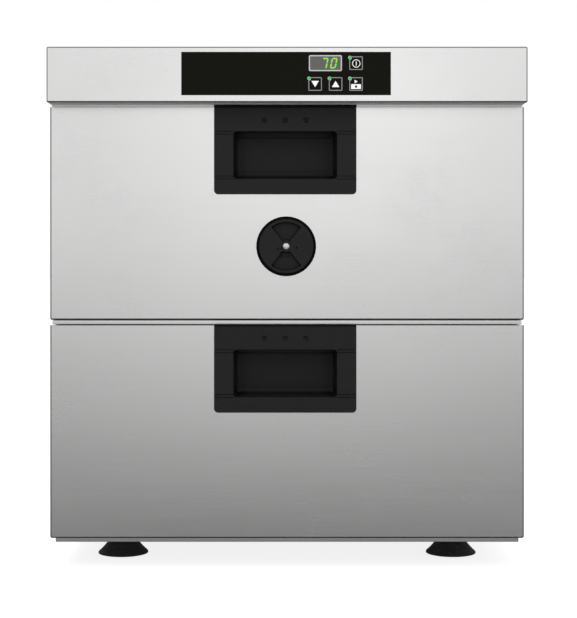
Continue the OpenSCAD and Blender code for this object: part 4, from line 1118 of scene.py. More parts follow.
def hollow_of(x, low_z, high_z):
    """A pocket's hollow: its walls lean in and turn into the floor in a fillet."""
    mouth, floor = HANDLE["upper"][0].y, POCKET_FLOOR
    draft, fillet = mm("pocket_draft"), mm("pocket_fillet")
    depth = floor - mouth
    stations = [(-0.01, -0.9), (0.35, -0.45), (1.0, 0.0), (depth - fillet, draft)]
    stations += arc((depth - fillet, draft + fillet), fillet, -75, 0, 5)
    rings = []
    for back, inwards in stations:
        outline = rounded_rectangle(POCKET[0] - 2 * inwards, high_z - low_z - 2 * inwards,
                                    max(3.0 - min(inwards, 0), 3.0 - inwards * 0.1), 6,
                                    (x, (low_z + high_z) / 2))
        rings.append(upright(outline, mouth + back))
    return loft(rings)


def build_handle(drawer):
    """A moulded handle: a plate with a pocket, hooks and screw bosses."""
    low, high = HANDLE[drawer]
    x, top = middle((low, high), 0), high.z
    front, edge = low.y, mm("handle_edge")
    pocket_low, pocket_high = top - POCKET_UP[0], top - POCKET_UP[1]
    skins = []
    # from the face backwards, (depth, how far the outline is drawn in)
    for back, inwards in arc((edge, edge), -edge, 0, 90, 6) + [(2.0, 0.0)]:
        outline = rounded_rectangle(high.x - low.x - 2 * inwards, top - low.z - 2 * inwards,
                                    (0.8, 4.2), 6, (x, (low.z + top) / 2))
        skins.append(upright(outline, front + back))
    body = box((x - HANDLE_HALF, front + 1, top - HANDLE_UP),
               (x + HANDLE_HALF, HANDLE_BACK, FRONT[drawer][1].z - 0.05), 0.8)
    groove = box((low.x - 1, front - 1, top - TOP_GROOVE[1]),
                 (high.x + 1, front + TOP_GROOVE[2], top - TOP_GROOVE[0]))
    half, below, above = POCKET_SHELL
    pocket = box((x - half, HANDLE_BACK - 2, pocket_low - below),
                 (x + half, POCKET_FLOOR + 3, pocket_high + above), 1.2)
    half, below, above = HOOK
    hooks = box((x - half, HANDLE_BACK, pocket_high - below),
                (x + half, POCKET_FLOOR, pocket_high + above), 1.0)
    bands = [band(x + side * POCKET[0] / 2, x + side * BAND_REACH, pocket_low, pocket_high,
                  front) for side in (-1, 1)]
    across, down = HANDLE_SCREWS
    bosses, bores = ([rod_y(x + across * side, top - down, start, end, radius, steps)
                      for side in (-1, 1)]
                     for start, end, radius, steps in ((POCKET_FLOOR - 1, high.y, 5, 32),
                                                       (POCKET_FLOOR - 0.5, high.y + 1, 1.9, 20)))
    pitch, under, wide, deep = DIMPLES
    ball = (wide ** 2 + deep ** 2) / (2 * deep)  # radius of the ball that leaves the dimple
    face_of_ball = arc((0, front + deep - ball), ball, 90, -90, 36)
    dimples = [lathe(face_of_ball, (x + pitch * step, top - under), 40)
               for step in (-1, 0, 1)]
    right, under, wide, deep = MOULD_MARK
    dimples.append(rod_y(x + right, pocket_high - under, POCKET_FLOOR - 1, POCKET_FLOOR + deep,
                         wide, 16))
    whole = carve(loft(skins), body, pocket, *bosses, operation="UNION")
    whole = carve(whole, hollow_of(x, pocket_low, pocket_high), hooks, groove, *bands, *bores,
                  *dimples)
    piece(drawer + "_moulded_handle", whole, "handle_plastic", drawer + "_handle", True,
          0.15, angle=40)


def band(near, far, low_z, high_z, front):
    """A shallow recess beside the pocket, between two pairs of fine grooves."""
    deep, groove, line, bead = 0.3, 1.5, 0.75, 3.0
    # (height above the recess's lower end, depth), the same from its upper end
    steps = [(-line, -1), (-line, groove), (0, groove), (0, deep / 2), (bead - line, deep / 2),
             (bead - line, groove), (bead, groove), (bead, deep)]
    outline = [(low_z + up, back) for up, back in steps]
    outline += [(high_z - up, back) for up, back in reversed(steps)]
    return loft([[(u, front + back, w) for w, back in outline] for u in (near, far)])


class WARMING_OT_handles(bpy.types.Operator):
    """Makes the recessed handles of the drawers"""
    bl_idname = "warming.handles"
    bl_label = "Handles"
    bl_options = {"REGISTER", "UNDO"}

    def execute(self, context):
        for drawer in DRAWERS:
            build_handle(drawer)
        return {"FINISHED"}


# ---- Moisture vent ------------------------------------------------------------------

SEAT_HUB = 6.0
SEAT_FACE = 28.8  # radius inside the seat's near-black rim, a painted shadow
HUB_FACE = -305.0
SEAT_RINGS = ((11.0, 26.0, 2), (17.0, 36.0, 4))  # radius, degrees to each side, gaps
SEAT_HOLE = 1.6
BLIND_HOLE = 3.6
DIAL_RIM = 1.4  # how wide the dial's near-black rim is, a painted shadow of the gap round it
WINDOW = (6.0, 25.2)  # its inner and outer radius
WINDOW_HALF = 38  # half its opening, in degrees
PINHOLES = ((-8.7, -2.4), (-4.8, -2.1), (-4.9, -6.6), (-0.6, -6.6), (3.4, -6.6), (-4.8, -10.3),
            (-0.5, -10.3), (3.2, -10.3), (10.6, -1.6))  # from the vent's middle


def vent_centre():
    return front_middle(DIAL)


def drill_tree():
    """Rods that lie along Y at the object's points, to be cut out of a disc."""
    tree, given, ended = grower("Drilled holes", Radius=0.0016, Depth=0.02, Sides=16)
    rod = place(tree, "GeometryNodeMeshCylinder", {
        "Vertices": given["Sides"], "Radius": given["Radius"], "Depth": given["Depth"]})
    laid = place(tree, "GeometryNodeTransform", {
        "Geometry": rod.outputs["Mesh"], "Rotation": (math.pi / 2, 0.0, 0.0)})
    return ended(laid.outputs[0])


def drilled(tree, points, radius, depth):
    """The rods of holes round points, as a mesh in millimetres."""
    made = sown("drill", tree, points, "dark_plastic",
                **{"Radius": radius * MM, "Depth": depth * MM})
    rods = bmesh.new()
    rods.from_mesh(made.data)
    data = made.data
    bpy.data.objects.remove(made)
    bpy.data.meshes.remove(data)
    bmesh.ops.scale(rods, vec=(1 / MM,) * 3, verts=rods.verts)
    bmesh.ops.remove_doubles(rods, verts=rods.verts, dist=NEAR)
    return rods


def window_prism(x, z, angle, radii, half, draft, start, end):
    """A sector-shaped window, wider at its front by the draft of its walls."""
    rings = []
    for y, grow in ((start, 0.0), (end, -draft)):
        inner, outer = radii[0] - grow, radii[1] + grow
        points = []
        for radius, sweep in ((outer, 1), (inner, -1)):
            spread = half - math.degrees(-grow / radius)
            points += arc((x, z), radius, angle - sweep * spread, angle + sweep * spread, 24)
        rings.append(upright(points, y))
    return loft(rings)


def build_seat(tree):
    """The vent's seat: a perforated disc on a duct, with a near-black rim that paints the shadow
    in the gap round the dial.
    """
    x, z = vent_centre()
    low, high = SEAT
    face, back = low.y + 0.25, FRONT["upper"][0].y
    disc = lathe([(0, face), (SEAT_FACE, face), (SEAT_FACE, back), (VENT_DUCT, back),
                  (VENT_DUCT, high.y), (21.5, high.y), (21.5, back + 1.2),
                  (SEAT_HUB, back + 1.2), (SEAT_HUB - 0.3, HUB_FACE), (0, HUB_FACE)],
                 (x, z), 96)
    boss = rod_y(x, z, low.y, low.y + 1, SEAT_HUB, 48)
    spots = [spot for side in (0, 180) for radius, spread, gaps in SEAT_RINGS
             for spot in upright(arc((x, z), radius, side - spread, side + spread, gaps), back)]
    blind = [(x + u, face, z + w) for u, w in PINHOLES if math.hypot(u, w) > SEAT_HUB + 0.4]
    bore = rod_y(x, z, low.y - 1, HUB_FACE + 1, 2.05, 24)
    whole = carve(carve(disc, boss, operation="UNION"), drilled(tree, spots, SEAT_HOLE, 20),
                  drilled(tree, blind, mm("perforation"), BLIND_HOLE), bore)
    piece("vent_seat_disc", whole, "handle_plastic", "vent_seat", True, 0.0, angle=40)
    # painted shadow: a near-black ring round the seat's face, in the gap round the dial
    rim = [(SEAT_FACE, face + 0.1), *raised(low.y, (30.2, 0.3), (30.8, 0.7), (31.0, 1.3)),
           (31.0, back), (SEAT_FACE, back)]
    piece("vent_seat_rim", lathe(rim, (x, z), 96, closed=True), "painted_shadow_black",
          "vent_seat")


def build_dial(tree):
    """The vent's dial: a disc with two windows, and its near-black rim, which paints the shadow of
    the gap round it.
    """
    x, z = vent_centre()
    low, high = DIAL
    radius = (high.x - low.x) / 2
    inner = radius - DIAL_RIM
    disc = lathe([*raised(low.y, (0, 0), (inner - 0.6, 0), (inner - 0.2, 0.15), (inner, 0.5)),
                  (inner, high.y), (0, high.y)], (x, z), 96)
    # painted shadow: the dial's near-black outer rim
    rim = raised(low.y, (inner - 0.1, 0.5), (radius - 0.7, 0.5), (radius - 0.2, 0.8),
                 (radius, 1.4))
    rim += raised(high.y, (radius, -0.3), (radius - 0.3, 0), (inner - 0.1, 0))
    piece("vent_disc_rim", lathe(rim, (x, z), 96, closed=True), "painted_shadow_black",
          "vent_dial", True)
    draft = mm("window_draft")
    cuts = [window_prism(x, z, angle, WINDOW, WINDOW_HALF, draft, low.y - 0.01, high.y + 0.01)
            for angle in (90, 270)]
    cuts.append(rod_y(x, z, low.y - 1, high.y + 1, 3.05, 32))
    cuts.append(drilled(tree, [(x + u, low.y, z + w) for u, w in PINHOLES],
                        mm("perforation"), 11.0))
    piece("vent_disc", carve(disc, *cuts), "handle_plastic", "vent_dial", True, 0.18, angle=40)


class WARMING_OT_vent(bpy.types.Operator):
    """Makes the moisture vent: its seat, its turning dial and the pivot screw"""
    bl_idname = "warming.vent"
    bl_label = "Moisture vent"
    bl_options = {"REGISTER", "UNDO"}

    def execute(self, context):
        tree = drill_tree()
        build_seat(tree)
        build_dial(tree)
        x, z = vent_centre()
        low, high = limits("vent_screw")
        head = raised(low.y, (0, 0), (1.2, 0.06), (2.3, 0.3), (3.05, 0.85), (3.4, 1.6),
                      (3.4, 2.2), (3.0, 2.2))
        shank = raised(HUB_FACE, (3.0, -10.0), (2.0, -9.8))
        shank += raised(high.y, (2.0, -0.6), (1.4, 0), (0, 0))
        half = mm("recess_width") / 2
        arms = [box((x - across, low.y - 1, z - up), (x + across, low.y + 1.3, z + up), 0.12, 2)
                for across, up in ((half, 2.1), (2.1, half))]
        piece("vent_pivot_screw", carve(lathe(head + shank, (x, z), 48), *arms),
              "pivot_steel", "vent_screw", True, 0.05, angle=45)
        return {"FINISHED"}


# ---- Chamber ------------------------------------------------------------------------

ELEMENT_RADIUS = 4.0
ELEMENT_RUNS = 6
ELEMENT_TURNS = (-214.5, 233.5)  # where the bends at the front and rear begin


def element_lanes():
    low, high = limits("heating_element")
    first, last = low.x + ELEMENT_RADIUS, high.x - ELEMENT_RADIUS
    pitch = (last - first) / (ELEMENT_RUNS - 1)
    return [first + pitch * i for i in range(ELEMENT_RUNS)]


def strip(path, thickness, start, end):
    """A folded strip: a line of (x, z) points given a thickness and drawn along Y."""
    path = [Vector(point) for point in path]
    sides = ([], [])
    for i, point in enumerate(path):
        ahead = (path[min(i + 1, len(path) - 1)] - path[max(i - 1, 0)]).normalized()
        across = Vector((-ahead.y, ahead.x)) * thickness / 2
        sides[0].append(point + across)
        sides[1].append(point - across)
    return prism([tuple(p) for p in sides[0] + sides[1][::-1]], start, end)


def build_element():
    """The sheathed element that runs to and fro, and its two ends."""
    low, high = limits("heating_element")
    lanes = element_lanes()
    bend = (lanes[-1] - lanes[0]) / (ELEMENT_RUNS - 1) / 2
    height = (low.z + high.z) / 2
    front, back = ELEMENT_TURNS
    sheath_end = high.y - 7.5
    path = [(lanes[0], sheath_end, height)]
    for i, (first, second) in enumerate(zip(lanes, lanes[1:])):
        turn, end = (back, 0) if i % 2 else (front, 360)
        path += [(x, y, height)
                 for x, y in arc(((first + second) / 2, turn), bend, 180, end, 20)]
    path.append((lanes[-1], sheath_end, height))
    piece("element_rod", tube(path, ELEMENT_RADIUS - 0.01, 24), "element_sheath",
          "heating_element", True)
    bush = raised(sheath_end, (0, -0.5), (3.4, -0.5), (3.4, 2.4), (2.8, 3), (0, 3))
    stud = raised(sheath_end, (0, 2), (1.5, 2)) + raised(high.y, (1.5, -0.4), (1.2, 0), (0, 0))
    for name, profile, steps, look in (("element_bushes", bush, 24, "pale_plastic"),
                                       ("element_studs", stud, 20, "ball_steel")):
        piece(name, joined(*[lathe(profile, (x, height), steps) for x in (lanes[0], lanes[-1])]),
              look, "heating_element")
    build_supports(lanes, height)


def build_supports(lanes, height):
    """Strips that lie on the chamber's floor and step over each run of the element."""
    low, high = limits("element_supports")
    thickness, width = 1.2, 10.0
    flat, hoop = low.z + thickness / 2, ELEMENT_RADIUS + 0.1 + thickness / 2
    path = [(low.x, flat)]
    for x in lanes:
        path += [(x - hoop - 2.5, flat), (x - hoop - 0.6, flat + 0.5), (x - hoop, flat + 2.2)]
        path += arc((x, height), hoop, 180, 0, 12)
        path += [(x + hoop, flat + 2.2), (x + hoop + 0.6, flat + 0.5), (x + hoop + 2.5, flat)]
    path.append((high.x, flat))
    strips = [strip(path, thickness, y, y + width) for y in (low.y, high.y - width)]
    piece("element_straps", joined(*strips), "inner_steel", "element_supports", True, 0.15)


def build_sensors():
    """The temperature probe and the safety cut-out."""
    low, high = limits("temperature_probe")
    x, z = front_middle((low, high))
    collar = limits("chamber_liner")[1].y
    tip = raised(low.y, (0, 0), (1.5, 0.3), (2.5, 1.1), (3, 2.4))
    tip += raised(collar, (3, -1), (3, 0), (5.6, 0), (6, 0.4), (6, 3.6), (5.6, 4), (2.7, 4))
    tip += raised(high.y, (2.7, -2.6), (2.2, -2.2), (2.2, -1.6), (2.7, -1.2), (2.5, 0), (0, 0))
    piece("probe_body", lathe(tip, (x, z), 32), "zinc_plate", "temperature_probe", True)
    low, high = limits("safety_thermostat")
    x, z = front_middle((low, high))
    cup = raised(low.y, (0, 0), (8.6, 0), (9, 0.4), (9, 1.8), (8.6, 2), (8.2, 2), (8.2, 4.2),
                 (0, 4.2))
    piece("cutout_cup", lathe(cup, (x, z), 40), "ball_steel", "safety_thermostat", True)
    body = raised(low.y, (0, 4), (7.9, 4), (7.9, 6.6), (7.3, 7.2), (3.2, 7.2), (3.0, 8.2),
                  (0, 8.2))
    piece("cutout_body", lathe(body, (x, z), 40), "dark_plastic", "safety_thermostat")
    tags = [box((x + side * 5.6 - 0.4, low.y + 7, z - 2.4),
                (x + side * 5.6 + 0.4, high.y, z + 2.4), 0.15, 2) for side in (-1, 1)]
    piece("cutout_tags", joined(*tags), "ball_steel", "safety_thermostat")


class WARMING_OT_chamber(bpy.types.Operator):
    """Makes the chamber's liner, its insulation, the element, the probe and the cut-out"""
    bl_idname = "warming.chamber"
    bl_label = "Chamber"
    bl_options = {"REGISTER", "UNDO"}

    def execute(self, context):
        dressed("chamber_liner", "inner_steel", 0.3)
        dressed("cabinet_insulation", "insulation_wool", 1.5)
        build_element()
        build_sensors()
        return {"FINISHED"}


# ---- Drawers ------------------------------------------------------------------------

PAN_CORNER = 30.0
PAN_RIM = 10.0
PAN_RIM_CORNER = 15.0
PAN_SHEET = 1.0


def build_pan(drawer):
    """A food pan: drafted walls with a shoulder under a flat rim."""
    low, high = limits(drawer + "_pan")
    rest = high.z - PAN_SHEET
    width, depth = high.x - low.x - 2 * PAN_RIM, high.y - low.y - 2 * PAN_RIM
    centre = (0.0, middle((low, high), 1))
    fillet, draft, step = mm("pan_fillet"), mm("pan_draft"), 2.0
    wall = [(draft + step + fillet * (1 - math.sin(a)), low.z + fillet * (1 - math.cos(a)))
            for a in (math.radians(15 * i) for i in range(7))]
    wall += [(step, rest - 19), (step * 0.85, rest - 17), (step * 0.15, rest - 14.6),
             (0, rest - 12.6), (0, rest - 2.5)]
    # (inset, height, corner radius), from under the pan, round its rim and down inside it
    stations = [(i, z, PAN_CORNER - i * 0.5) for i, z in wall]
    stations += [(-0.1, rest, PAN_CORNER), (-PAN_RIM + 0.4, rest, PAN_RIM_CORNER),
                 (-PAN_RIM, rest + 0.3, PAN_RIM_CORNER),
                 (-PAN_RIM, rest + PAN_SHEET - 0.3, PAN_RIM_CORNER),
                 (-PAN_RIM + 0.4, rest + PAN_SHEET, PAN_RIM_CORNER),
                 (-1.6, rest + PAN_SHEET, PAN_CORNER - 4), (-0.4, rest + 0.7, PAN_CORNER - 1),
                 (0.6, rest - 0.2, PAN_CORNER)]
    stations += [(i + PAN_SHEET, max(z, low.z + PAN_SHEET) + (PAN_SHEET * 0.1 if z > low.z else 0),
                  PAN_CORNER - i * 0.5 - 1) for i, z in reversed(wall)]
    rings = [[(x, y, z) for x, y in rounded_rectangle(width - 2 * i, depth - 2 * i, r, 10, centre)]
             for i, z, r in stations]
    piece(drawer + "_food_pan", loft(rings), "pan_steel", drawer + "_pan", True, angle=50)


class WARMING_OT_drawers(bpy.types.Operator):
    """Makes the drawer frames and the food pans"""
    bl_idname = "warming.drawers"
    bl_label = "Drawers"
    bl_options = {"REGISTER", "UNDO"}

    def execute(self, context):
        for drawer in DRAWERS:
            dressed(drawer + "_drawer_frame", "inner_steel", 0.45, steps=3)
            build_pan(drawer)
        return {"FINISHED"}


# ---- Slides -------------------------------------------------------------------------

BALL_RADIUS = 1.5
BALLS = 5
SLIDE_PITCH = 222.5  # between the upper and the lower slides
STRIP_HALF = {"outer": 3.6, "inner": 2.4}


def ball_tree():
    """Balls at the object's points."""
    tree, given, ended = grower("Slide balls", Radius=0.0015)
    ball = place(tree, "GeometryNodeMeshIcoSphere", {"Radius": given["Radius"],
                                                     "Subdivisions": 3})
    return ended(ball.outputs["Mesh"])


def slide_slots(node, pitch, half, radius):
    """Mounting slots through the web of a slide, on both sides of the cabinet."""
    low, high = limits(node)
    heights = ([middle((low, high), 2)] if high.z - low.z < 60 else
               [middle((low, high), 2) + side * SLIDE_PITCH / 2 for side in (-1, 1)])
    tools = []
    y = low.y + 30
    while y < high.y - 20:
        for z in heights:
            outline = rounded_rectangle(2 * half, 2 * radius, radius, 5, (y, z))
            tools.append(prism(outline, low.x - 1, high.x + 1, "x"))
        y += pitch
    return joined(*tools)


class WARMING_OT_slides(bpy.types.Operator):
    """Makes the ball-bearing slides: their members, retainers and balls"""
    bl_idname = "warming.slides"
    bl_label = "Slides"
    bl_options = {"REGISTER", "UNDO"}

    def execute(self, context):
        dressed("slide_outer_members", "zinc_plate", 0.4, steps=3,
                tools=[slide_slots("slide_outer_members", 77, 4.5, 2.2)])
        tree = ball_tree()
        for drawer in DRAWERS:
            for part, pitch, half in (("_slide_mid", 154, 8), ("_slide_inner", 96, 5)):
                dressed(drawer + part, "zinc_plate", 0.4, steps=3,
                        tools=[slide_slots(drawer + part, pitch, half, 2.4)])
            for row in ("outer", "inner"):
                node = "%s_%s_balls" % (drawer, row)
                low, high = limits(node)
                dressed(node, "pale_plastic", 0.15, name=node.replace("balls", "retainers"),
                        longer_than=10)
                reach = high.x - STRIP_HALF[row]
                spots = [(x, low.y + (i + 0.5) * (high.y - low.y) / BALLS, z)
                         for x in (-reach, reach) for i in range(BALLS)
                         for z in (low.z + BALL_RADIUS, high.z - BALL_RADIUS)]
                grown(node.replace("balls", "bearing_balls"), tree, spots, "ball_steel", node,
                      angle=60, **{"Radius": BALL_RADIUS * MM})
        return {"FINISHED"}


# ---- Screws -------------------------------------------------------------------------

SCREW_HEAD = (3.6, 2.0)
SCREW_SHANK = (1.85, 9.0)
REAR_SCREWS = (54.0, 258.75, 455.0, 501.0, 526.0)
CAP_SCREWS = (-234.5, 278.5)
SCREW_X = 239.0
FRAME_SCREWS = (12.0, 33.0)  # under the pan's rest
FRAME_SCREW_X = 164.0


def screw_tree():
    """Cross-recessed pan-head screws at the object's points, each turned by chance."""
    tree, given, ended = grower("Pan-head screws", Head_radius=0.0036, Head_height=0.002,
                                Shank_radius=0.0019, Shank_length=0.009, Recess=0.0009, Seed=7)
    ball = place(tree, "GeometryNodeMeshUVSphere", {
        "Segments": 20, "Rings": 12, "Radius": given["Head radius"]})
    spot = axes_of(tree, place(tree, "GeometryNodeInputPosition").outputs[0])
    part = math_of(tree, "DIVIDE", math_of(tree, "MAXIMUM", spot[2], 0.0), given["Head radius"])
    dome = place(tree, "GeometryNodeSetPosition", {
        "Geometry": ball.outputs["Mesh"], "Position": place(tree, "ShaderNodeCombineXYZ", {
            0: spot[0], 1: spot[1], 2: math_of(
                tree, "MULTIPLY", math_of(tree, "POWER", part, 0.55),
                given["Head height"])}).outputs[0]})
    long = math_of(tree, "MULTIPLY", given["Head radius"], 1.15)
    deep = math_of(tree, "MULTIPLY", given["Head height"], 1.3)
    arms = []
    for flat in (0, 1):
        size = {flat: long, 1 - flat: given["Recess"], 2: deep}
        bar = place(tree, "GeometryNodeMeshCube", {
            "Size": place(tree, "ShaderNodeCombineXYZ", size).outputs[0]})
        arms.append(place(tree, "GeometryNodeTransform", {
            "Geometry": bar.outputs["Mesh"], "Translation": place(
                tree, "ShaderNodeCombineXYZ", {2: given["Head height"]}).outputs[0]}))
    head = place(tree, "GeometryNodeMeshBoolean", {"Mesh 1": dome.outputs[0]},
                 operation="DIFFERENCE", solver="EXACT")
    for arm in arms:
        tree.links.new(arm.outputs[0], head.inputs["Mesh 2"])
    shank = place(tree, "GeometryNodeMeshCylinder", {
        "Vertices": 16, "Radius": given["Shank radius"], "Depth": given["Shank length"]})
    lowered = place(tree, "GeometryNodeTransform", {
        "Geometry": shank.outputs["Mesh"], "Translation": place(
            tree, "ShaderNodeCombineXYZ", {2: math_of(
                tree, "MULTIPLY", given["Shank length"], -0.5)}).outputs[0]})
    whole = place(tree, "GeometryNodeJoinGeometry", {0: head.outputs["Mesh"]})
    tree.links.new(lowered.outputs[0], whole.inputs[0])
    turn = place(tree, "FunctionNodeRandomValue", {2: 0.0, 3: math.pi, "Seed": given["Seed"]},
                 data_type="FLOAT").outputs[1]
    spun = place(tree, "FunctionNodeEulerToRotation", {
        0: place(tree, "ShaderNodeCombineXYZ", {2: turn}).outputs[0]}).outputs[0]
    facing = place(tree, "GeometryNodeInputNamedAttribute", {"Name": "facing"},
                   data_type="FLOAT_VECTOR").outputs[0]
    aimed = place(tree, "FunctionNodeAlignRotationToVector", {
        "Rotation": spun, "Vector": facing}, axis="Z").outputs[0]
    return ended(whole.outputs[0], Rotation=aimed)


class WARMING_OT_screws(bpy.types.Operator):
    """Makes the casing screws and the screws of the drawer fronts"""
    bl_idname = "warming.screws"
    bl_label = "Screws"
    bl_options = {"REGISTER", "UNDO"}

    def execute(self, context):
        tree = screw_tree()
        sizes = {"Head radius": SCREW_HEAD[0] * MM, "Head height": SCREW_HEAD[1] * MM,
                 "Shank radius": SCREW_SHANK[0] * MM, "Shank length": SCREW_SHANK[1] * MM,
                 "Recess": mm("recess_width") * MM}
        rear, deck = limits("cap_back")[1].y, limits("cap_floor")[1].z
        spots = [(x, rear, z) for x in (-SCREW_X, SCREW_X) for z in REAR_SCREWS]
        facings = [(0, 1, 0)] * len(spots)
        spots += [(x, y, deck) for x in (-SCREW_X, SCREW_X) for y in CAP_SCREWS]
        facings += [(0, 0, 1)] * (len(spots) - len(facings))
        grown("casing_screw_set", tree, spots, "zinc_plate", "casing_screws", True, facings,
              Seed=3, **sizes)
        for drawer in DRAWERS:
            rest = limits(drawer + "_drawer_frame")[1].z
            y = limits(drawer + "_screws")[1].y - SCREW_HEAD[1]
            x, top = middle(HANDLE[drawer], 0), HANDLE[drawer][1].z
            spots = [(side * FRAME_SCREW_X, y, rest - drop) for side in (-1, 1)
                     for drop in FRAME_SCREWS]
            spots += [(x + side * HANDLE_SCREWS[0], y, top - HANDLE_SCREWS[1])
                      for side in (-1, 1)]
            grown(drawer + "_screw_set", tree, spots, "zinc_plate", drawer + "_screws", True,
                  [(0, 1, 0)] * len(spots), Seed=5, **sizes)
        return {"FINISHED"}


# ---- Electrics ----------------------------------------------------------------------

WIRE_RADIUS = 1.75
GLAND_BORE = 5.5
CHIPS = ((14, 8, 12, 12), (31, 14, 9, 5), (48, 8, 6, 10), (65, 14, 12, 7))  # x, z, size
RESISTORS = (20, 29, 38, 47)  # their middles, from the mains board's corner
BOARD_TOP = 9.6  # above the foot of the mains board's posts
CORE_FOOT = 2.1
MAINS_PARTS = (  # name, look, edge, spans from the board's corner as (x, y, x, y)
    ("mains_plugs", "pale_plastic", 0.4, ((117, -1, 131, 111), (-1, 91, 44, 111),
                                          (74, 3, 98, 15))),
    ("mains_relay", "dark_plastic", 0.5, ((49, 59, 80, 74),)),
    ("mains_capacitor", "core_steel", 0.8, ((36, 19, 54, 37),)))
WINDINGS = (("transformer_winding", "copper_winding", 1.2, ((15, 3, 47, 14), (15, 36, 47, 47))),)


def parted(node, rest, above, parts):
    """Cuts a CAD node into pieces: parts take what stands in their spans above a level."""
    low, high = limits(node)
    taken = []
    for name, look, edge, spans in parts:
        pairs = [((low.x + x0, low.y + y0, low.z + above), (low.x + x1, low.y + y1, high.z + 1))
                 for x0, y0, x1, y1 in spans]
        taken += pairs
        piece(name, carve(copied(node), joined(*[box(*pair) for pair in pairs]),
                          operation="INTERSECT"), look, node, True, edge, angle=40)
    name, look, edge = rest
    piece(name, carve(copied(node), *[box(*pair) for pair in taken]), look, node, True, edge,
          angle=40)


def build_boards():
    """The control board, the mains board and what is soldered on them."""
    low, high = limits("control_board")
    dressed("control_board", "circuit_board", 0.12)
    dressed("display_module", "dark_plastic", 0.3)
    dressed("key_switches", "dark_plastic", 0.2)
    chips = [box((low.x + x, high.y - 0.1, low.z + z),
                 (low.x + x + w, high.y + 1.8, low.z + z + h), 0.2, 2) for x, z, w, h in CHIPS]
    piece("control_chips", joined(*chips), "dark_plastic", "control_board")
    parted("power_board", ("mains_board", "circuit_board", 0.12), BOARD_TOP, MAINS_PARTS)
    low, high = limits("power_board")
    leads = [tube(rounded_path([(low.x + x, low.y + y, low.z + z) for y, z in (
        (12, 9), (12, 13), (24, 13), (24, 9))], 1.2, 4), 0.5, 8) for x in RESISTORS]
    bodies = [box((low.x + x - 1.6, low.y + 14.5, low.z + 11.5),
                  (low.x + x + 1.6, low.y + 21.5, low.z + 14.6), 1.2, 3) for x in RESISTORS]
    piece("mains_resistor_leads", joined(*leads), "ball_steel", "power_board")
    piece("mains_resistors", joined(*bodies), "blue_lead", "power_board")


def build_terminals():
    """The terminal block and its slotted screws."""
    low, high = limits("terminal_block")
    dressed("terminal_block", "pale_plastic", 0.5)
    poles = 5
    pitch = (high.x - low.x) / poles
    heads = []
    for i in range(poles):
        x, y = low.x + (i + 0.5) * pitch, (low.y + high.y) / 2
        top = high.z - 1.4
        head = lathe([(0, top - 4), (2.7, top - 4), (2.7, top - 0.5), (2.3, top), (0, top)],
                     (x, y), 24, axis="z")
        heads.append(carve(head, box((x - 3, y - 0.4, top - 1), (x + 3, y + 0.4, top + 1))))
    piece("terminal_screws", joined(*heads), "zinc_plate", "terminal_block")


def build_gland():
    """The cord gland: its body, its seal and the nut inside the wall."""
    low, high = limits("cable_gland")
    x, z = front_middle((low, high))
    wall = limits("cap_back")[1].y

    def hexagon(radius, start, end):
        return prism(arc((x, z), radius, 0, 300, 5), start, end)

    def turned(profile, steps=64):
        return lathe(profile, (x, z), steps)

    chamfer = turned(raised(wall, (0, -0.01), (12.6, -0.01), (13.6, 0.6), (13.6, 4.4),
                            (12.6, 5.01), (0, 5.01)))
    base = carve(hexagon(13.5, wall, wall + 5), chamfer, operation="INTERSECT")
    thread = [(0, low.y)]
    y = low.y
    while y < wall - 1.2:
        thread += [(9.3, y), (9.95, y + 0.6)]
        y += 1.2
    thread += [(9.3, wall), (9.3, wall + 1), (0, wall + 1)]
    nut = turned(raised(wall, (0, 4.9), (11.0, 4.9), (11.5, 5.4), (11.5, 12.4), (11.2, 14),
                        (10.2, 15.6), (9, 17), (8.6, 17.8)) + [(8.2, high.y), (0, high.y)])
    flutes = [rod_y(*spot, wall + 6.6, wall + 16, 1.25, 16)
              for spot in arc((x, z), 12.3, 0, 330, 11)]
    bore = rod_y(x, z, low.y - 1, high.y + 1, GLAND_BORE, 40)
    body = carve(carve(base, turned(thread), carve(nut, *flutes), operation="UNION"), bore)
    piece("gland_body", body, "dark_plastic", "cable_gland", True, 0.12, angle=40)
    sealing = frame_ring(*[arc((x, z), radius, 0, 350, 35) for radius in (7.6, GLAND_BORE - 0.6)],
                         high.y - 2.6, high.y - 0.4)
    piece("gland_seal", sealing, "seal_rubber", "cable_gland", angle=50)
    inner = limits("cap_back")[0].y
    nut_in = carve(hexagon(14, inner - 5, inner), rod_y(x, z, inner - 6, inner + 1, 10.05, 40))
    piece("gland_nut", nut_in, "zinc_plate", "cable_gland", False, 0.3)


def build_wires():
    """The leads between the boards, the element and the probe."""
    lanes = element_lanes()
    height = middle(limits("heating_element"), 2)
    rear = limits("heating_element")[1].y
    block_low, block_high = limits("terminal_block")
    board_low, board_high = limits("power_board")
    probe_end = limits("temperature_probe")[1].y
    probe = front_middle(limits("temperature_probe"))
    rise, run = limits("cap_back")[0].y - 5, limits("cap_floor")[1].z + 14
    pole, plug, signal = middle((block_low, block_high), 1), 12.0, board_low.x + 86
    panel_back, panel_mid = limits("control_board")[1].y, middle(limits("control_board"), 2)
    back = panel_back - 1.4
    routes = {
        "red_lead": [[(lanes[-1], rear, height), (lanes[-1], rise, height),
                      (lanes[-1], rise, run), (lanes[-1], pole, run), (block_low.x, pole, run)],
                     [(lanes[0], rear, height), (lanes[0], rise, height), (lanes[0], rise, run),
                      (lanes[0], board_high.y, run)]],
        "white_lead": [[(probe[0], probe_end, probe[1]), (probe[0], rise, probe[1]),
                        (probe[0], rise, run), (probe[0], plug + 15, run),
                        (board_high.x, plug + 15, run)]],
        "blue_lead": [[(block_low.x + 6, block_low.y, run), (block_low.x + 6, plug - 15, run),
                       (board_high.x, plug - 15, run)]],
        "grey_lead": [[(signal, board_low.y + 4, run), (signal, back + 38, run),
                       (signal, back + 38, panel_mid), (signal, back + 0.1, panel_mid)]]}
    for look, paths in routes.items():
        piece("wiring_" + look, joined(*[tube(rounded_path(path, 4.0, 6), WIRE_RADIUS, 12)
                                         for path in paths]),
              look, "internal_wiring", True)


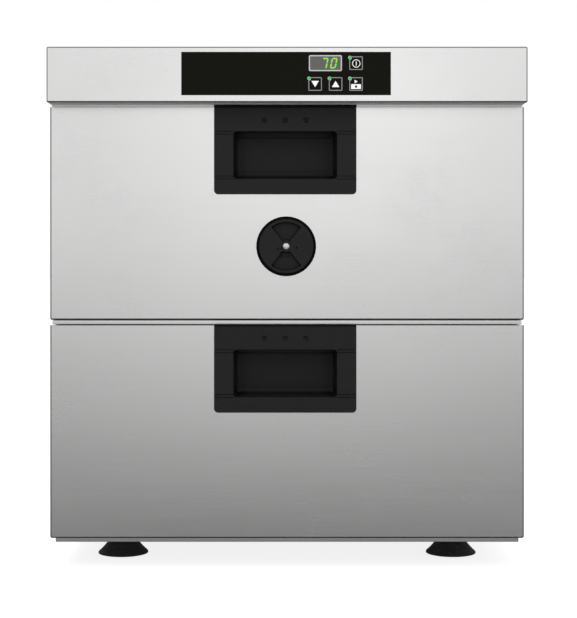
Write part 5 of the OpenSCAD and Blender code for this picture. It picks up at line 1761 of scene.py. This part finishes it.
class WARMING_OT_electrics(bpy.types.Operator):
    """Makes the boards, transformer, terminals, cord gland and leads in the cap"""
    bl_idname = "warming.electrics"
    bl_label = "Electrics"
    bl_options = {"REGISTER", "UNDO"}

    def execute(self, context):
        build_boards()
        parted("transformer", ("transformer_core", "core_steel", 0.4), CORE_FOOT, WINDINGS)
        build_terminals()
        build_gland()
        build_wires()
        return {"FINISHED"}


# ---- Feet ---------------------------------------------------------------------------

FOOT_RADIUS = 27.5


def foot_centres():
    low, high = limits("feet")
    return [(x, y) for x in (low.x + FOOT_RADIUS, high.x - FOOT_RADIUS)
            for y in (low.y + FOOT_RADIUS, high.y - FOOT_RADIUS)]


class WARMING_OT_feet(bpy.types.Operator):
    """Makes the four flared feet and their bolts"""
    bl_idname = "warming.feet"
    bl_label = "Feet"
    bl_options = {"REGISTER", "UNDO"}

    def execute(self, context):
        top = limits("feet")[1].z
        profile = [(9, 0.02), (10.5, 0), (26.6, 0), (27.3, 0.2), (27.5, 0.7), (27.35, 1.3),
                   (26.9, 2.1), (25.2, 3.6), (22.6, 6.2), (20.2, 8.8), (18.2, 11.2),
                   (16.4, 13.2), (15.3, 14.6), (15, 15.6), (15, top - 0.4), (14.6, top),
                   (4.2, top), (4.2, 7), (9, 7)]
        piece("rubber_feet", joined(*[lathe(profile, centre, 64, True, "z")
                                      for centre in foot_centres()]),
              "foot_rubber", "feet", True, angle=30)
        dressed("foot_bolts", "zinc_plate", 0.25, angle=30)
        return {"FINISHED"}


# ---- Stage --------------------------------------------------------------------------

FLOOR_RADIUS = 20.0
# Painted shade in reflections: (metres from the middle, grey) of the floor as mirrored, darker
# near the cabinet
FLOOR_MIRRORED_SHADE = ((0.2, 0.19), (0.7, 0.307), (1.3, 0.49), (2.4, 0.59), (5.5, 0.705),
               (15.0, 1.0))
FLOOR_START = 0.3  # metres from the middle, where the fades of the mirrored floor begin
FLOOR_SIDES = 0.30  # how much the painted shade darkens the mirrored floor to both sides
FLOOR_CURVE = 0.4  # power that spreads the near distances over the ramp
CAMERA_PLACE = (0.0, -1.8695, 0.329)
CAMERA_SHIFT = (0.00235, -0.0874)
LAMPS = (  # name, place, aim, width, height, power, colour, seen in reflections
    ("Key lamp", (-0.5, -2.6, 2.4), (0, -0.3, 0.3), 1.6, 1.6, 40.0, (1.0, 0.99, 0.97), False),
    ("Fill lamp", (2.2, -2.0, 1.0), (0, -0.2, 0.25), 2.0, 2.0, 16.0, (0.97, 0.98, 1.0), False),
    ("Rear lamp", (-1.2, 2.4, 2.0), (0, 0.2, 0.3), 1.8, 1.8, 24.0, (1.0, 1.0, 1.0), False),
    ("Sheen lamp", (0.12, -3.4, 1.15), (0.12, 0, 1.15), 0.8, 1.5, 1.1, (1.0, 1.0, 1.0), True))


def build_world():
    """White for the camera and in reflections, softer as light."""
    world = bpy.data.worlds.new("Paper white")
    world.use_nodes = True
    tree = world.node_tree
    tree.nodes.clear()
    path = place(tree, "ShaderNodeLightPath").outputs
    seen = math_of(tree, "MAXIMUM", path["Is Camera Ray"],
                   math_of(tree, "MAXIMUM", path["Is Glossy Ray"],
                           path["Is Transmission Ray"]))
    white = place(tree, "ShaderNodeBackground", {0: (1, 1, 1, 1), 1: 1.0}).outputs[0]
    soft = place(tree, "ShaderNodeBackground", {0: (1, 1, 1, 1), 1: 0.7}).outputs[0]
    mixed = place(tree, "ShaderNodeMixShader", {0: seen, 1: soft, 2: white}).outputs[0]
    place(tree, "ShaderNodeOutputWorld", {0: mixed})
    bpy.context.scene.world = world


def floor_look():
    """White paper; in reflections it carries painted shade, darker near the cabinet and to its
    sides.
    """
    look = bpy.data.materials.new("paper_floor")
    look.use_nodes = True
    tree = look.node_tree
    tree.nodes.clear()
    path = place(tree, "ShaderNodeLightPath").outputs
    papers = []
    for grey, glow in ((0.9, 0.45), (0.4, 0.82)):  # what lights the object, what is seen
        paper = place(tree, "ShaderNodeBsdfDiffuse", {0: (grey, grey, grey, 1)}).outputs[0]
        lift = place(tree, "ShaderNodeEmission", {0: (1, 1, 1, 1), 1: glow}).outputs[0]
        papers.append(place(tree, "ShaderNodeAddShader", {0: paper, 1: lift}).outputs[0])
    seen = place(tree, "ShaderNodeMixShader",
                 {0: path["Is Camera Ray"], 1: papers[0], 2: papers[1]}).outputs[0]
    # Painted shade: glossy rays see an emission that is darker near the cabinet and to its sides,
    # so the steel is darker towards the bottom and the sides
    away = math_of(tree, "SUBTRACT", place(
        tree, "ShaderNodeVectorMath", {0: surface(tree, "Object")},
        operation="LENGTH").outputs["Value"], FLOOR_START)
    ramp = place(tree, "ShaderNodeValToRGB",
                 {0: math_of(tree, "POWER", math_of(tree, "DIVIDE", math_of(
                     tree, "MAXIMUM", away, 0.0), FLOOR_MIRRORED_SHADE[-1][0]), FLOOR_CURVE)})
    keys = ramp.color_ramp.elements
    far = bpy.context.scene.warming_colours.stage_far
    for i, (distance, value) in enumerate(FLOOR_MIRRORED_SHADE):
        spot = (distance / FLOOR_MIRRORED_SHADE[-1][0]) ** FLOOR_CURVE
        key = keys[i] if i < 2 else keys.new(spot)
        key.position, key.color = spot, (value * far, value * far, value * far, 1.0)
    spot = axes_of(tree, surface(tree, "Object"))
    reach = math_of(tree, "ADD", math_of(tree, "ABSOLUTE", spot[1]), 1.25)
    aside = remap(tree, math_of(tree, "DIVIDE", math_of(tree, "ABSOLUTE", spot[0]), reach),
                  0.0, 1.0, 0.05, 0.2)
    sides = math_of(tree, "MULTIPLY", aside, remap(tree, away, 0.0, FLOOR_SIDES, 0.3, 1.1))
    glossy = place(tree, "ShaderNodeEmission", {
        0: ramp.outputs[0], 1: math_of(tree, "SUBTRACT", 1.0, sides)}).outputs[0]
    mixed = place(tree, "ShaderNodeMixShader",
                  {0: path["Is Glossy Ray"], 1: seen, 2: glossy}).outputs[0]
    place(tree, "ShaderNodeOutputMaterial", {0: mixed})
    return look


class WARMING_OT_stage(bpy.types.Operator):
    """Makes the white floor, the lamps, the world and the camera"""
    bl_idname = "warming.stage"
    bl_label = "Stage"
    bl_options = {"REGISTER", "UNDO"}

    def execute(self, context):
        scene = bpy.context.scene
        build_world()
        disc = bmesh.new()
        bmesh.ops.create_circle(disc, cap_ends=True, segments=96, radius=FLOOR_RADIUS)
        floor = as_object(disc, "floor")
        floor.location.z = -0.0001
        floor.data.materials.append(floor_look())
        for name, spot, aim, width, height, power, rgb, mirrored in LAMPS:
            data = bpy.data.lights.new(name, "AREA")
            data.shape, data.size, data.size_y = "RECTANGLE", width, height
            data.energy, data.color = power, rgb
            lamp = bpy.data.objects.new(name, data)
            lamp.location = spot
            lamp.rotation_euler = (Vector(aim) - Vector(spot)).to_track_quat("-Z", "Y").to_euler()
            lamp.visible_glossy = mirrored
            scene.collection.objects.link(lamp)
        data = bpy.data.cameras.new("Photographer")
        data.lens = scene.warming_sizes.camera_lens
        data.sensor_width, (data.shift_x, data.shift_y) = 36.0, CAMERA_SHIFT
        camera = bpy.data.objects.new("Photographer", data)
        camera.location = CAMERA_PLACE
        camera.rotation_euler = (math.pi / 2, 0.0, 0.0)
        scene.collection.objects.link(camera)
        scene.camera = camera
        scene.view_settings.view_transform = "Standard"
        return {"FINISHED"}


# ---- Add-on ------------------------------------------------------------------------

STEPS = (WARMING_OT_finishes, WARMING_OT_casing, WARMING_OT_cap, WARMING_OT_controls,
         WARMING_OT_chamber, WARMING_OT_fronts, WARMING_OT_handles, WARMING_OT_vent,
         WARMING_OT_drawers, WARMING_OT_slides, WARMING_OT_screws, WARMING_OT_electrics,
         WARMING_OT_feet, WARMING_OT_stage)


class WARMING_PT_build(bpy.types.Panel):
    """Lists the steps that build the cabinet, with its sizes and colours"""
    bl_idname = "WARMING_PT_build"
    bl_label = "Warming drawer"
    bl_space_type = "VIEW_3D"
    bl_region_type = "UI"
    bl_category = "Warming drawer"

    def draw(self, context):
        column = self.layout.column(align=True)
        for step in STEPS:
            column.operator(step.bl_idname)
        for values in (context.scene.warming_sizes, context.scene.warming_colours):
            block = self.layout.box()
            for key in values.__annotations__:
                block.prop(values, key)


CLASSES = (WarmingSizes, WarmingColours, *STEPS, WARMING_PT_build)


def register():
    for kind in CLASSES:
        bpy.utils.register_class(kind)
    bpy.types.Scene.warming_sizes = PointerProperty(type=WarmingSizes)
    bpy.types.Scene.warming_colours = PointerProperty(type=WarmingColours)


def unregister():
    del bpy.types.Scene.warming_colours
    del bpy.types.Scene.warming_sizes
    for kind in reversed(CLASSES):
        bpy.utils.unregister_class(kind)


def main():
    register()
    for step in STEPS:
        family, action = step.bl_idname.split(".")
        getattr(getattr(bpy.ops, family), action)()


if __name__ == "__main__":
    main()
